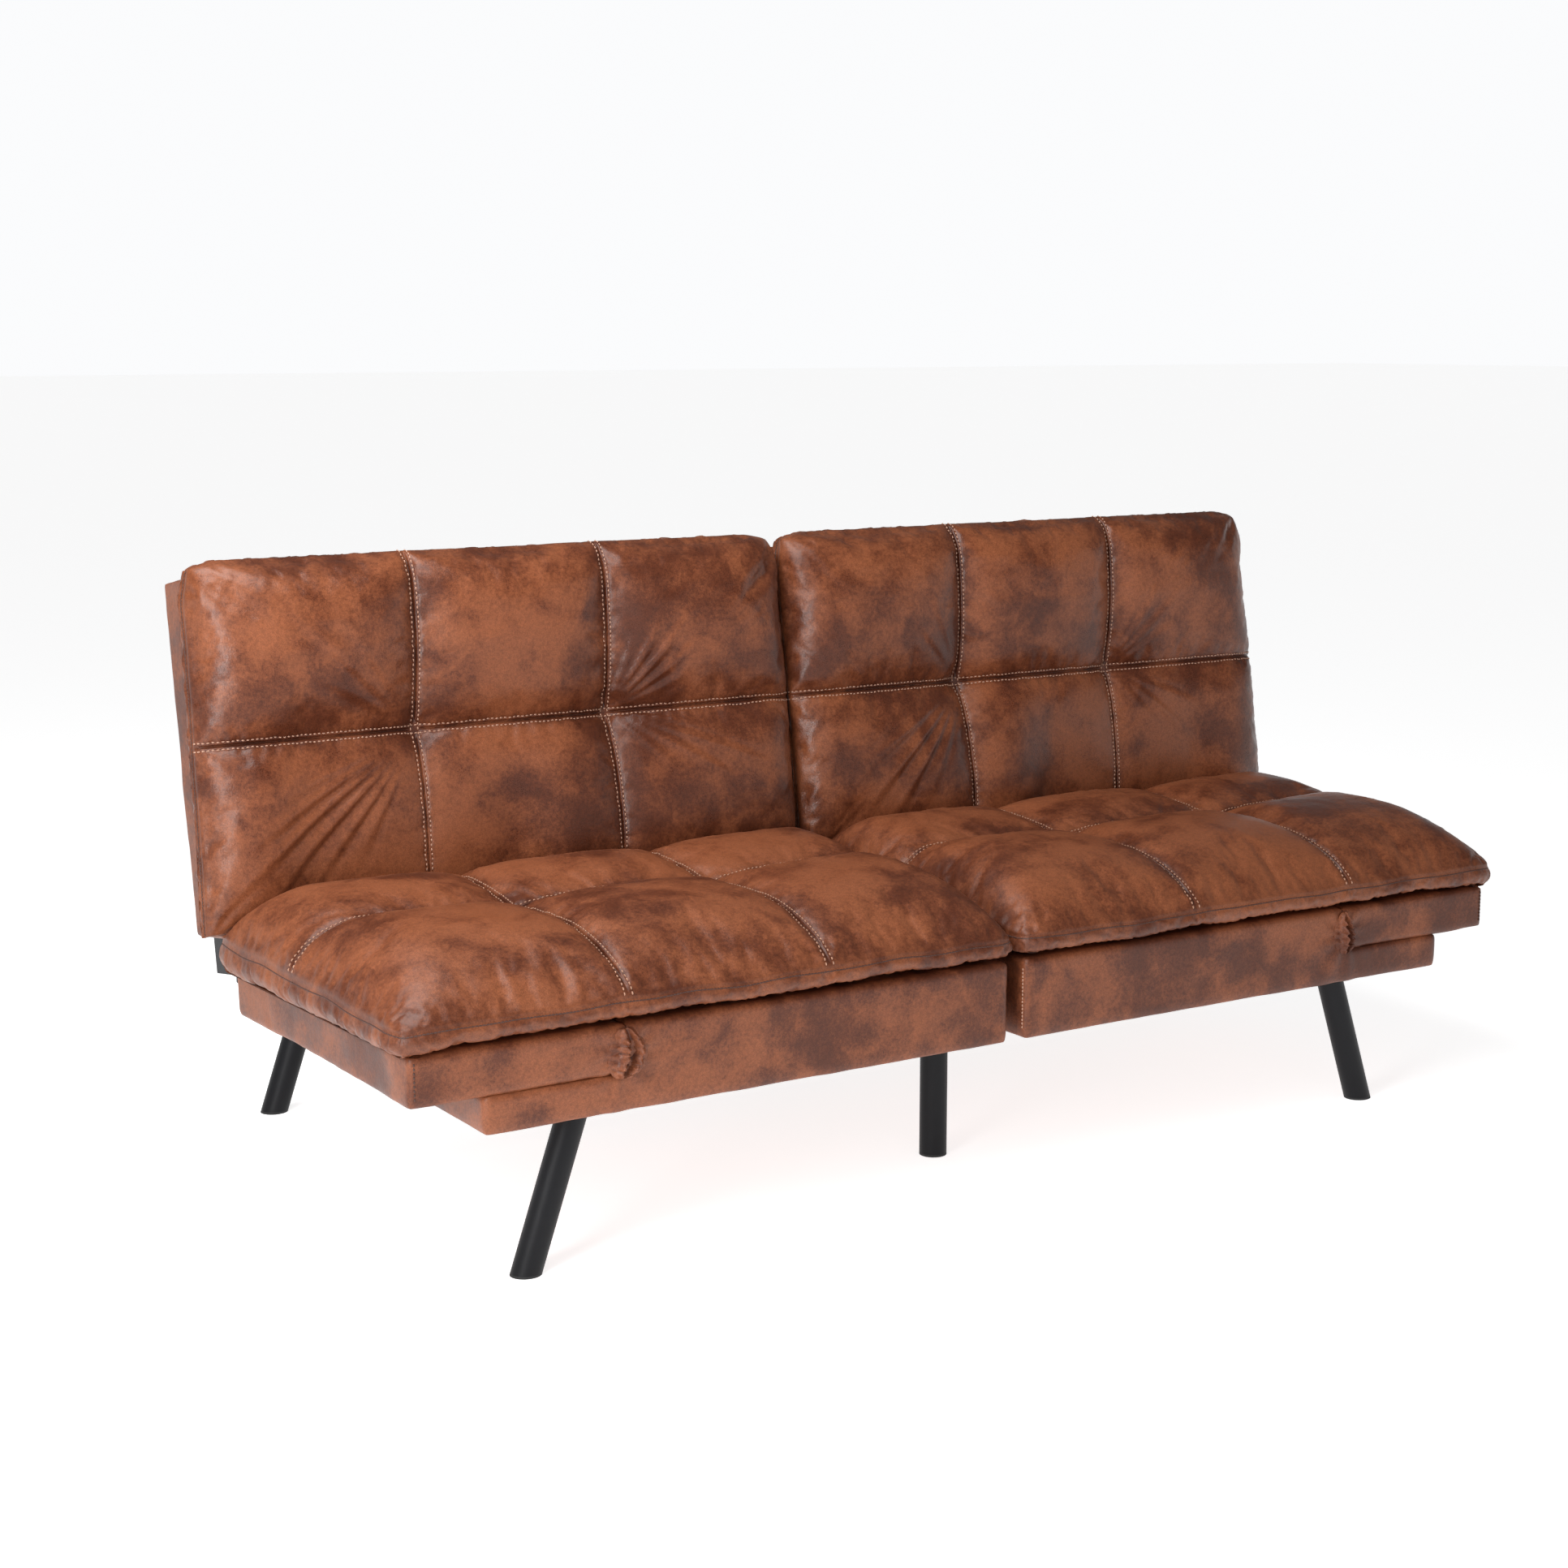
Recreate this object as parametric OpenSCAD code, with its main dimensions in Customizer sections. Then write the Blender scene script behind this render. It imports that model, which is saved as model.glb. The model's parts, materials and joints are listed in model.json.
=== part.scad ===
// Convertible futon sofa bed with a split back and two folding armrests.
// Row frame: X across the sofa, +Y towards its back, +Z up, origin on the floor
// under the middle of the whole sofa. "Depth" values count from the front face
// of the seat boxes, and "back" values from the lower front edge of the backing.

/* [Seat] */
// Depth of the seat boxes and armrests
seat_depth = 508; // [490:1:512]
// Height of the seat boxes' underside
seat_bottom_z = 207; // [190:1:230]
// Height of each seat box
seat_h = 105; // [96:1:110]
// Gap between the two seat boxes
seat_gap = 30; // [24:1:60]
// Height of the ledge that each armrest lies on
ledge_h = 44.5; // [40:0.5:50]
// Distance from the centre to the ledge's outer end
ledge_x = 776; // [700:1:840]

/* [Armrests] */
// Distance from the centre to each armrest's hinge line
arm_hinge_x = 588.3; // [560:0.1:600]
// Distance from the centre to each armrest's outer end
arm_x = 870; // [820:1:885]
// Angle that each armrest folds up
arm_fold = 75; // [45:1:78]

/* [Backrest] */
// Distance from the centre to each backrest's outer end
back_x = 884; // [870:1:900]
// Length of the backing, bottom to top
back_len = 470; // [400:1:520]
// Thickness of the backing
back_t = 96; // [94:1:100]
// Lean of the upright backrest from vertical
recline = 9.3; // [8:0.1:12]
// Depth of the backing's lower front edge
back_foot_depth = 542; // [541:1:548]
// Height of the backing's lower front edge
back_foot_z = 347; // [345:1:352]

/* [Pads] */
// Thickness of the seat pads
seat_pad_h = 90; // [50:1:95]
// Overhang of the seat pads past the front of the seat boxes
pad_overhang = 20; // [10:1:30]
// Distance from the centre to the seat pads' outer end
pad_x = 893; // [890:1:900]
// Thickness of the back pads
back_pad_t = 38; // [25:1:38]
// Overhang of the back pads past the backings' outer ends
back_pad_overhang = 13; // [0:1:20]
// Rise of the back pads past the backings' tops
back_pad_rise = 21; // [0:1:30]

/* [Steel frame] */
// Width and height of the square tubes
tube_w = 30; // [25:1:30]
// Distance from the centre to each side rail's middle
rail_x = 620; // [610:1:630]
// Depth of the front feet
front_foot_depth = 65; // [50:1:90]
// Depth of the middle foot
middle_foot_depth = 184; // [150:1:250]
// Depth of the rear feet
rear_foot_depth = 868; // [820:1:880]
// Diameter of the round legs
leg_d = 38; // [32:1:42]
// Sideways run of an outer leg for each millimetre of height
leg_splay = 0.345; // [0.2:0.005:0.4]

/* [Hinges] */
// Depth of the backrests' pivots
pivot_depth = 570; // [570:1:574]
// Height of the backrests' pivots
pivot_z = 304; // [302:1:306]

/* [Hidden] */
$fn = 64;

left = -1;
right = 1;
skip = 1;                       // cuts run this far past the faces they open
steel_color = [0.07, 0.07, 0.08];
leather_color = [0.48, 0.25, 0.13];
wood_color = [0.78, 0.62, 0.42];
cloth_color = [0.12, 0.12, 0.12];

tube_wall = 2;
cover_t = 2.5;                  // padded leather skin
board_t = 18;
deck_t = 9;
fit_gap = 0.6;                  // between pieces that move past each other
seat_top_z = seat_bottom_z + seat_h;
ledge_top_z = seat_bottom_z + ledge_h;
seat_x = seat_gap / 2;
rail_top_z = seat_bottom_z + tube_w;

// whole-sofa depth, from the pads' front edge to the rear leg plates
plate_w = 60;                   // leg plate, across the rail
plate_l = 64;                   // leg plate, along the rail
plate_t = 4;
rear_end_depth = rear_foot_depth + plate_l / 2;
depth_middle = (rear_end_depth - pad_overhang) / 2;

// pivot beam and its lugs
beam_front_depth = 522;
beam_bottom_z = pivot_z - tube_w * 5 / 6;
beam_end_x = back_x - 32;
lug_t = 5;
lug_r = 14;
lug_gap = 1;
pivot_bore_r = 5;
pivot_clearance = 0.05;
bolt_head_r = 9;
bolt_head_h = 4.5;
outer_lug_x = beam_end_x;
inner_lug_x = 12;

// leg screws
screw_r = 3;
screw_head_r = 5.5;
screw_head_h = 3.5;
screw_pitch = 25;
screw_len = plate_t + tube_wall + 8;

// armrest hinges: butt hinges whose leaves hang face to face under the knuckles
knuckle_r = 5.8;
hinge_pin_r = 2.5;
hinge_clearance = 0.05;
hinge_leaf_t = 3;
hinge_leaf_h = 56;
hinge_l = 60;
hinge_depths = [100, 348];
knuckle_l = hinge_l / 3;
leaf_face = knuckle_r - hinge_leaf_t;   // from the hinge line to a leaf's near face
arm_cover_x = arm_hinge_x + 0.3;
arm_bottom_z = ledge_top_z + fit_gap;
seat_wall_x = arm_hinge_x - 0.3;

// pads
pad_bottom_z = seat_top_z + 6;
pad_side_cut = arm_fold / 2 + 2;        // each pad leans away from the hinge line by this
pad_round = 30;
pad_inner_x = 6;
pad_rear_depth = seat_depth + 1;

// round feet
foot_cap_h = 3;
foot_plug_h = 15;
leg_plate_z = seat_bottom_z - plate_t;
leg_angle = atan(leg_splay);

module from_front() {
  translate([0, -depth_middle, 0]) children();
}

module on_side(side) {
  mirror([side < 0 ? 1 : 0, 0, 0]) from_front() children();
}

module block(x, y, z) {
  translate([x[0], y[0], z[0]]) cube([x[1] - x[0], y[1] - y[0], z[1] - z[0]]);
}

// a solid whose outline in the XZ plane runs from depth y[0] to depth y[1]
module along_y(y) {
  translate([0, y[1], 0]) rotate([90, 0, 0]) linear_extrude(y[1] - y[0]) children();
}

// a solid whose outline in the YZ plane runs from x[0] to x[1]
module along_x(x) {
  translate([x[0], 0, 0]) rotate([90, 0, 90]) linear_extrude(x[1] - x[0]) children();
}

module tube_outline() {
  difference() {
    square(tube_w);
    translate([tube_wall, tube_wall]) square(tube_w - 2 * tube_wall);
  }
}

// ---- steel frame ----

module screw_holes(positions) {
  for (p = positions)
    translate([p[0], p[1], leg_plate_z - skip])
      cylinder(r = screw_r + 0.1, h = plate_t + tube_wall + 2 * skip);
}

side_screws = [
  for (depth = [front_foot_depth, rear_foot_depth], step = [-screw_pitch, screw_pitch])
    [rail_x, depth + step]
];
middle_screws = [for (step = [-screw_pitch, screw_pitch]) [step, middle_foot_depth]];

module side_rail(side) {
  color(steel_color) on_side(side) difference() {
    along_y([board_t + cover_t + 1, rear_end_depth])
      translate([rail_x - tube_w / 2, seat_bottom_z]) tube_outline();
    screw_holes(side_screws);
  }
}

module cross_rail(depth, screws) {
  span = rail_x - tube_w / 2;
  color(steel_color) from_front() difference() {
    along_x([-span, span]) translate([depth - tube_w / 2, seat_bottom_z]) tube_outline();
    screw_holes(screws);
  }
}

module lug(x) {
  along_x([x, x + lug_t]) {
    translate([pivot_depth, pivot_z]) circle(lug_r);
    translate([beam_front_depth + tube_w - 1, beam_bottom_z])
      square([pivot_depth - beam_front_depth - tube_w + 1, tube_w]);
  }
}

module pivot_beam() {
  color(steel_color) from_front() difference() {
    union() {
      along_x([-beam_end_x, beam_end_x])
        translate([beam_front_depth, beam_bottom_z]) tube_outline();
      for (flip = [0, 1]) mirror([flip, 0, 0]) {
        lug(outer_lug_x);
        lug(inner_lug_x);
        block([beam_end_x, beam_end_x + lug_t],
              [beam_front_depth, beam_front_depth + tube_w],
              [beam_bottom_z, beam_bottom_z + tube_w]);
      }
    }
    translate([-back_x, pivot_depth, pivot_z]) rotate([0, 90, 0])
      cylinder(r = pivot_bore_r, h = 2 * back_x);
  }
}

module beam_post(side) {
  color(steel_color) on_side(side)
    translate([rail_x - tube_w / 2, beam_front_depth, rail_top_z])
      linear_extrude(beam_bottom_z - rail_top_z) tube_outline();
}

module pivot_bolts() {
  grip = 2 * lug_t + lug_gap + 1;
  color(steel_color) from_front() for (flip = [0, 1], x = [outer_lug_x, inner_lug_x])
    mirror([flip, 0, 0]) translate([x, pivot_depth, pivot_z]) rotate([0, 90, 0]) {
      translate([0, 0, -bolt_head_h - 0.5]) cylinder(r = bolt_head_r, h = bolt_head_h, $fn = 6);
      translate([0, 0, -1]) cylinder(r = pivot_bore_r - pivot_clearance, h = grip + 1);
      translate([0, 0, grip - 0.5]) cylinder(r = bolt_head_r, h = bolt_head_h);
    }
}

// ---- legs ----

// a round bar along a leg's line, from its foot on the floor upwards
module leg_bar(radius, foot_x, depth, angle) {
  translate([foot_x, depth, 0]) rotate([0, -angle, 0])
    translate([0, 0, -2 * radius]) cylinder(r = radius, h = 2 * seat_bottom_z);
}

module leg(foot_x, depth, angle) {
  top_x = foot_x - tan(angle) * leg_plate_z;
  plate = angle > 0 ? [plate_w, plate_l] : [plate_l, plate_w];
  centre_x = angle > 0 ? rail_x : 0;
  screws = angle > 0 ? side_screws : middle_screws;
  difference() {
    intersection() {
      leg_bar(leg_d / 2, foot_x, depth, angle);
      block([top_x - 2 * leg_d, foot_x + 2 * leg_d], [depth - leg_d, depth + leg_d],
            [foot_cap_h, leg_plate_z]);
    }
    leg_bar(leg_d / 2 - tube_wall, foot_x, depth, angle);
  }
  difference() {
    translate([centre_x - plate[0] / 2, depth - plate[1] / 2, leg_plate_z])
      cube([plate[0], plate[1], plate_t]);
    screw_holes(screws);
  }
}

module foot_cap(foot_x, depth, angle) {
  clearance = 0.1;
  intersection() {
    leg_bar(leg_d / 2, foot_x, depth, angle);
    block([foot_x - leg_d, foot_x + leg_d], [depth - leg_d, depth + leg_d], [0, foot_cap_h]);
  }
  intersection() {
    leg_bar(leg_d / 2 - tube_wall - clearance, foot_x, depth, angle);
    block([foot_x - leg_d, foot_x + leg_d], [depth - leg_d, depth + leg_d],
          [foot_cap_h - 1, foot_plug_h]);
  }
}

side_foot_x = rail_x + 4 + leg_splay * leg_plate_z;

module side_leg(side, depth) {
  color(steel_color) on_side(side) leg(side_foot_x, depth, leg_angle);
}

module side_foot_cap(side, depth) {
  color(cloth_color) on_side(side) foot_cap(side_foot_x, depth, leg_angle);
}

module leg_screws() {
  module screw(p) {
    translate([p[0], p[1], leg_plate_z]) {
      translate([0, 0, -screw_head_h]) cylinder(r = screw_head_r, h = screw_head_h);
      translate([0, 0, -1]) cylinder(r = screw_r, h = screw_len);
    }
  }
  color(steel_color) {
    for (side = [left, right]) on_side(side) for (p = side_screws) screw(p);
    from_front() for (p = middle_screws) screw(p);
  }
}

// rubber buffers on the rear rail that the flat backrests lie on
module rest_buffers() {
  foot_y = pivot_depth - back_foot_depth;
  foot_z = pivot_z - back_foot_z;
  flat_front_z = pivot_z + foot_y * cos(recline) - foot_z * sin(recline);
  buffer_h = flat_front_z - back_t - rail_top_z - fit_gap;
  color(cloth_color) from_front() for (x = [-500, -200, 200, 500])
    translate([x, rear_foot_depth, rail_top_z]) cylinder(r = 11, h = buffer_h);
}

// ---- seat boxes ----

// L-shaped outline of a seat box in the XZ plane, drawn in by a margin
module seat_outline(margin) {
  polygon([
    [seat_x + margin, seat_bottom_z], [ledge_x - margin, seat_bottom_z],
    [ledge_x - margin, ledge_top_z - margin], [seat_wall_x - margin, ledge_top_z - margin],
    [seat_wall_x - margin, seat_top_z - margin], [seat_x + margin, seat_top_z - margin]
  ]);
}

// room for the steel rails inside a seat box
module rail_room(clearance) {
  top = rail_top_z + clearance;
  block([rail_x - tube_w / 2 - clearance, rail_x + tube_w / 2 + clearance],
        [board_t + cover_t + 1 - clearance, seat_depth + skip], [seat_bottom_z - skip, top]);
  block([-skip, rail_x],
        [middle_foot_depth - tube_w / 2 - clearance, middle_foot_depth + tube_w / 2 + clearance],
        [seat_bottom_z - skip, top]);
}

// room for an armrest hinge's knuckles and fixed leaf
module knuckle_room() {
  for (depth = hinge_depths)
    block([arm_hinge_x - knuckle_r - 1, arm_hinge_x + knuckle_r + 1],
          [depth - 1, depth + hinge_l + 1], [seat_top_z - 8, seat_top_z + skip]);
}

module seat_cover(side) {
  color(leather_color) on_side(side) difference() {
    along_y([0, seat_depth]) seat_outline(0);
    difference() {
      along_y([cover_t, seat_depth - cover_t]) seat_outline(cover_t);
      block([ledge_x - cover_t, ledge_x], [0, seat_depth], [seat_bottom_z, ledge_top_z]);
    }
    block([seat_x + cover_t, ledge_x - cover_t], [cover_t, seat_depth - cover_t],
          [seat_bottom_z - skip, seat_bottom_z + skip]);
    rail_room(1);
    knuckle_room();
  }
}

module seat_frame(side) {
  front = cover_t;
  rear = seat_depth - cover_t;
  inner = seat_x + cover_t;
  slit = seat_wall_x - leaf_face - hinge_leaf_t + 0.3;
  deck_z = seat_top_z - cover_t - deck_t;
  ledge_z = ledge_top_z - cover_t;
  color(wood_color) on_side(side) difference() {
    union() {
      for (y = [[front, front + board_t], [rear - board_t, rear]]) {
        block([inner, slit], y, [seat_bottom_z, deck_z]);
        block([inner, ledge_x - cover_t], y, [seat_bottom_z, ledge_z]);
      }
      for (x = [inner, (inner + slit - board_t) / 2, slit - board_t])
        block([x, x + board_t], [front, rear], [seat_bottom_z, deck_z]);
      block([ledge_x - cover_t - board_t, ledge_x - cover_t], [front, rear],
            [seat_bottom_z, ledge_z]);
    }
    rail_room(2);
  }
}

module seat_deck(side) {
  color(wood_color) on_side(side)
    block([seat_x + cover_t, arm_hinge_x - knuckle_r - 2], [cover_t, seat_depth - cover_t],
          [seat_top_z - cover_t - deck_t, seat_top_z - cover_t]);
}

module dust_cover(side) {
  sheet_t = 1;
  room = 4;
  color(cloth_color) on_side(side) difference() {
    block([seat_x + cover_t, ledge_x - cover_t], [cover_t, seat_depth - cover_t],
          [seat_bottom_z - sheet_t, seat_bottom_z]);
    block([-skip, plate_l / 2 + room],
          [middle_foot_depth - plate_w / 2 - room, middle_foot_depth + plate_w / 2 + room],
          [seat_bottom_z - 2 * sheet_t, seat_bottom_z + skip]);
    block([rail_x - plate_w / 2 - room, rail_x + plate_w / 2 + room],
          [front_foot_depth - plate_l / 2 - room, front_foot_depth + plate_l / 2 + room],
          [seat_bottom_z - 2 * sheet_t, seat_bottom_z + skip]);
  }
}

// outline of the pads in the YZ plane: square below, rounded above
module pad_section() {
  front = -pad_overhang;
  top = pad_bottom_z + seat_pad_h;
  translate([front + pad_round, pad_bottom_z])
    square([pad_rear_depth - front - 2 * pad_round, seat_pad_h]);
  translate([front, pad_bottom_z])
    square([pad_rear_depth - front, seat_pad_h - pad_round]);
  for (y = [front + pad_round, pad_rear_depth - pad_round])
    translate([y, top - pad_round]) circle(pad_round);
}

module seat_pad(side) {
  top = pad_bottom_z + seat_pad_h;
  lean = tan(pad_side_cut);
  color(leather_color) on_side(side) intersection() {
    along_x([pad_inner_x, arm_hinge_x]) pad_section();
    along_y([-pad_overhang, pad_rear_depth]) polygon([
      [pad_inner_x, pad_bottom_z], [arm_hinge_x - lean * (pad_bottom_z - seat_top_z), pad_bottom_z],
      [arm_hinge_x - lean * (top - seat_top_z), top],
      [pad_inner_x + pad_round / 2, top], [pad_inner_x, top - pad_round]
    ]);
  }
}

module armrest_pad(side) {
  top = pad_bottom_z + seat_pad_h;
  lean = tan(pad_side_cut);
  color(leather_color) on_side(side) intersection() {
    along_x([arm_hinge_x, pad_x]) pad_section();
    along_y([-pad_overhang, pad_rear_depth]) polygon([
      [arm_hinge_x + lean * (pad_bottom_z - seat_top_z), pad_bottom_z], [pad_x, pad_bottom_z],
      [pad_x, top - pad_round], [pad_x - pad_round, top],
      [arm_hinge_x + lean * (top - seat_top_z), top]
    ]);
  }
}

// gathered leather that hides the slit in front of an armrest hinge
module hinge_gusset(side) {
  leaf_w = 10;
  leaf_t = 3;
  inset = 6;
  color(leather_color) on_side(side)
    block([seat_wall_x - leaf_w, seat_wall_x], [-leaf_t, 0],
          [ledge_top_z + inset, seat_top_z - inset]);
}

// ---- armrest hinges ----

// knuckles in the spans listed, each a pair of lengths along the hinge
module knuckles(spans) {
  for (depth = hinge_depths, span = spans)
    translate([arm_hinge_x, depth + span[1], seat_top_z]) rotate([90, 0, 0])
      cylinder(r = knuckle_r, h = span[1] - span[0]);
}

module hinge_bore() {
  translate([arm_hinge_x, seat_depth, seat_top_z]) rotate([90, 0, 0])
    cylinder(r = hinge_pin_r + hinge_clearance, h = seat_depth);
}

fixed_spans = [[0, knuckle_l - 0.5], [2 * knuckle_l + 0.5, hinge_l]];
moving_spans = [[knuckle_l + 0.5, 2 * knuckle_l - 0.5]];

module arm_hinge_base(side) {
  leaf_x = arm_hinge_x - knuckle_r;
  color(steel_color) on_side(side) difference() {
    union() {
      knuckles(fixed_spans);
      for (depth = hinge_depths) {
        block([leaf_x, leaf_x + hinge_leaf_t - 0.5], [depth, depth + hinge_l],
              [seat_top_z - hinge_leaf_h, seat_top_z - knuckle_r - 2]);
        for (span = fixed_spans)
          block([leaf_x, leaf_x + hinge_leaf_t - 0.5], [depth + span[0], depth + span[1]],
                [seat_top_z - knuckle_r - 3, seat_top_z]);
      }
    }
    hinge_bore();
  }
}

module arm_hinge_leaf(side) {
  leaf_x = arm_hinge_x + knuckle_r - hinge_leaf_t + 0.5;
  color(steel_color) on_side(side) difference() {
    union() {
      knuckles(moving_spans);
      for (depth = hinge_depths) {
        block([leaf_x, leaf_x + hinge_leaf_t - 0.5], [depth, depth + hinge_l],
              [seat_top_z - hinge_leaf_h, seat_top_z - knuckle_r - 2]);
        for (span = moving_spans)
          block([leaf_x, leaf_x + hinge_leaf_t - 0.5], [depth + span[0], depth + span[1]],
                [seat_top_z - knuckle_r - 3, seat_top_z]);
      }
    }
    hinge_bore();
  }
}

module arm_hinge_pins(side) {
  color("silver") on_side(side) for (depth = hinge_depths)
    translate([arm_hinge_x, depth + hinge_l, seat_top_z]) rotate([90, 0, 0])
      cylinder(r = hinge_pin_r, h = hinge_l);
}

// ---- armrests ----

module armrest_cover(side) {
  color(leather_color) on_side(side) difference() {
    block([arm_cover_x, arm_x], [0, seat_depth], [arm_bottom_z, seat_top_z]);
    block([arm_cover_x + cover_t, arm_x - cover_t], [cover_t, seat_depth - cover_t],
          [arm_bottom_z + cover_t, seat_top_z - cover_t]);
    knuckle_room();
  }
}

module armrest_frame(side) {
  x = [arm_hinge_x + knuckle_r + 1, arm_x - cover_t];
  y = [cover_t, seat_depth - cover_t];
  z = [arm_bottom_z + cover_t, seat_top_z - cover_t];
  color(wood_color) on_side(side) difference() {
    block(x, y, z);
    block([x[0] + board_t, x[1] - board_t], [y[0] + board_t, y[1] - board_t],
          [z[0] - skip, z[1] - deck_t]);
  }
}

// ---- backrests ----

// children are drawn upright from the backing's lower front edge, then leant back
module on_back(side) {
  on_side(side) translate([0, back_foot_depth, back_foot_z]) rotate([-recline, 0, 0]) children();
}

// the pivot in the backing's own leaning frame
pivot_rise = pivot_z - back_foot_z;
pivot_run = pivot_depth - back_foot_depth;
back_pivot_y = pivot_run * cos(recline) - pivot_rise * sin(recline);
back_pivot_z = pivot_run * sin(recline) + pivot_rise * cos(recline);

back_inner_x = 8;
bracket_y = back_t - 18;         // middle of a bracket's upright leg
bracket_top = 130;
bracket_clearance = 1;           // below the backing's underside
bracket_bolt_heights = [45, 110];
outer_bracket_x = outer_lug_x + lug_t + lug_gap;
inner_bracket_x = inner_lug_x + lug_t + lug_gap;

module bracket_holes(radius) {
  for (z = bracket_bolt_heights)
    translate([-skip, bracket_y, z]) rotate([0, 90, 0]) cylinder(r = radius, h = back_x + 2 * skip);
}

// broad plate from the pivot to the backing's underside, with a leg up into the backing
module back_bracket(side, x) {
  color(steel_color) on_back(side) difference() {
    along_x([x, x + lug_t]) {
      translate([back_pivot_y, back_pivot_z]) circle(lug_r);
      translate([back_pivot_y, back_pivot_z - lug_r])
        square([bracket_y - back_pivot_y + lug_r, lug_r]);
      translate([back_pivot_y - lug_r, back_pivot_z])
        square([bracket_y - back_pivot_y + 2 * lug_r, -back_pivot_z - bracket_clearance]);
      translate([bracket_y - lug_r, back_pivot_z - lug_r])
        square([2 * lug_r, bracket_top - back_pivot_z + lug_r]);
    }
    translate([x - skip, back_pivot_y, back_pivot_z]) rotate([0, 90, 0])
      cylinder(r = pivot_bore_r, h = lug_t + 2 * skip);
    bracket_holes(screw_r + 0.1);
  }
}

module bracket_bolts(side) {
  color(steel_color) on_back(side) for (x = [outer_bracket_x, inner_bracket_x])
    for (z = bracket_bolt_heights) translate([x, bracket_y, z]) rotate([0, 90, 0]) {
      translate([0, 0, -screw_head_h]) cylinder(r = screw_head_r, h = screw_head_h);
      translate([0, 0, -1]) cylinder(r = screw_r, h = lug_t + 13);
    }
}

module back_cover(side) {
  room = 1.5;
  color(leather_color) on_back(side) difference() {
    block([back_inner_x, back_x], [0, back_t], [0, back_len]);
    block([back_inner_x + cover_t, back_x - cover_t], [cover_t, back_t - cover_t],
          [cover_t, back_len - cover_t]);
    for (x = [outer_bracket_x, inner_bracket_x])
      block([x - room, x + lug_t + room],
            [bracket_y - lug_r - room, bracket_y + lug_r + 0.4], [-skip, cover_t + skip]);
  }
}

module back_frame(side) {
  inner = inner_bracket_x + lug_t;
  outer = outer_bracket_x + lug_t;
  post_x = (inner + outer) / 2;
  low = cover_t;
  high = back_len - cover_t;
  rail_y = [cover_t, bracket_y - lug_r - 2];
  color(wood_color) on_back(side) difference() {
    union() {
      for (x = [inner, outer]) block([x, x + board_t], [cover_t, back_t - cover_t], [low, high]);
      block([inner, outer], rail_y, [low, low + board_t]);
      block([inner, outer], rail_y, [high - board_t, high]);
      block([post_x, post_x + board_t], rail_y, [low, high]);
    }
    bracket_holes(screw_r + 0.1);
  }
}

module back_pad(side) {
  top = back_len + back_pad_rise;
  inner = back_inner_x - 2;
  outer = back_x + back_pad_overhang;
  color(leather_color) on_back(side) intersection() {
    along_x([inner, outer]) {
      translate([-back_pad_t, back_pad_t]) square([back_pad_t, top - 2 * back_pad_t]);
      for (z = [back_pad_t, top - back_pad_t]) intersection() {
        translate([0, z]) circle(back_pad_t);
        translate([-back_pad_t, 0]) square([back_pad_t, top]);
      }
    }
    along_y([-back_pad_t, 0]) polygon([
      [inner + 10, 0], [outer - 10, 0], [outer, 10], [outer, top - 10],
      [outer - 10, top], [inner + 10, top], [inner, top - 10], [inner, 10]
    ]);
  }
}

side_rail(left);  // side_rail_left
side_rail(right);  // side_rail_right
cross_rail(middle_foot_depth, middle_screws);  // middle_rail
cross_rail(rear_foot_depth, []);  // rear_rail
pivot_beam();
beam_post(left);  // beam_post_left
beam_post(right);  // beam_post_right
side_leg(left, front_foot_depth);  // front_leg_left
side_leg(right, front_foot_depth);  // front_leg_right
side_leg(left, rear_foot_depth);  // rear_leg_left
side_leg(right, rear_foot_depth);  // rear_leg_right
color(steel_color) from_front() leg(0, middle_foot_depth, 0);  // middle_leg
side_foot_cap(left, front_foot_depth);  // front_foot_cap_left
side_foot_cap(right, front_foot_depth);  // front_foot_cap_right
side_foot_cap(left, rear_foot_depth);  // rear_foot_cap_left
side_foot_cap(right, rear_foot_depth);  // rear_foot_cap_right
color(cloth_color) from_front() foot_cap(0, middle_foot_depth, 0);  // middle_foot_cap
leg_screws();
rest_buffers();
pivot_bolts();
seat_frame(left);  // seat_frame_left
seat_frame(right);  // seat_frame_right
seat_deck(left);  // seat_deck_left
seat_deck(right);  // seat_deck_right
seat_cover(left);  // seat_cover_left
seat_cover(right);  // seat_cover_right
dust_cover(left);  // dust_cover_left
dust_cover(right);  // dust_cover_right
seat_pad(left);  // seat_pad_left
seat_pad(right);  // seat_pad_right
hinge_gusset(left);  // hinge_gusset_left
hinge_gusset(right);  // hinge_gusset_right
arm_hinge_base(left);  // arm_hinge_base_left
arm_hinge_base(right);  // arm_hinge_base_right
arm_hinge_pins(left);  // arm_hinge_pins_left
arm_hinge_pins(right);  // arm_hinge_pins_right
arm_hinge_leaf(left);  // arm_hinge_leaf_left
arm_hinge_leaf(right);  // arm_hinge_leaf_right
armrest_frame(left);  // armrest_frame_left
armrest_frame(right);  // armrest_frame_right
armrest_cover(left);  // armrest_cover_left
armrest_cover(right);  // armrest_cover_right
armrest_pad(left);  // armrest_pad_left
armrest_pad(right);  // armrest_pad_right
back_frame(left);  // back_frame_left
back_frame(right);  // back_frame_right
back_cover(left);  // back_cover_left
back_cover(right);  // back_cover_right
back_pad(left);  // back_pad_left
back_pad(right);  // back_pad_right
back_bracket(left, outer_bracket_x);  // back_bracket_outer_left
back_bracket(right, outer_bracket_x);  // back_bracket_outer_right
back_bracket(left, inner_bracket_x);  // back_bracket_inner_left
back_bracket(right, inner_bracket_x);  // back_bracket_inner_right
bracket_bolts(left);  // bracket_bolts_left
bracket_bolts(right);  // bracket_bolts_right
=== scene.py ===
import json
import math

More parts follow.
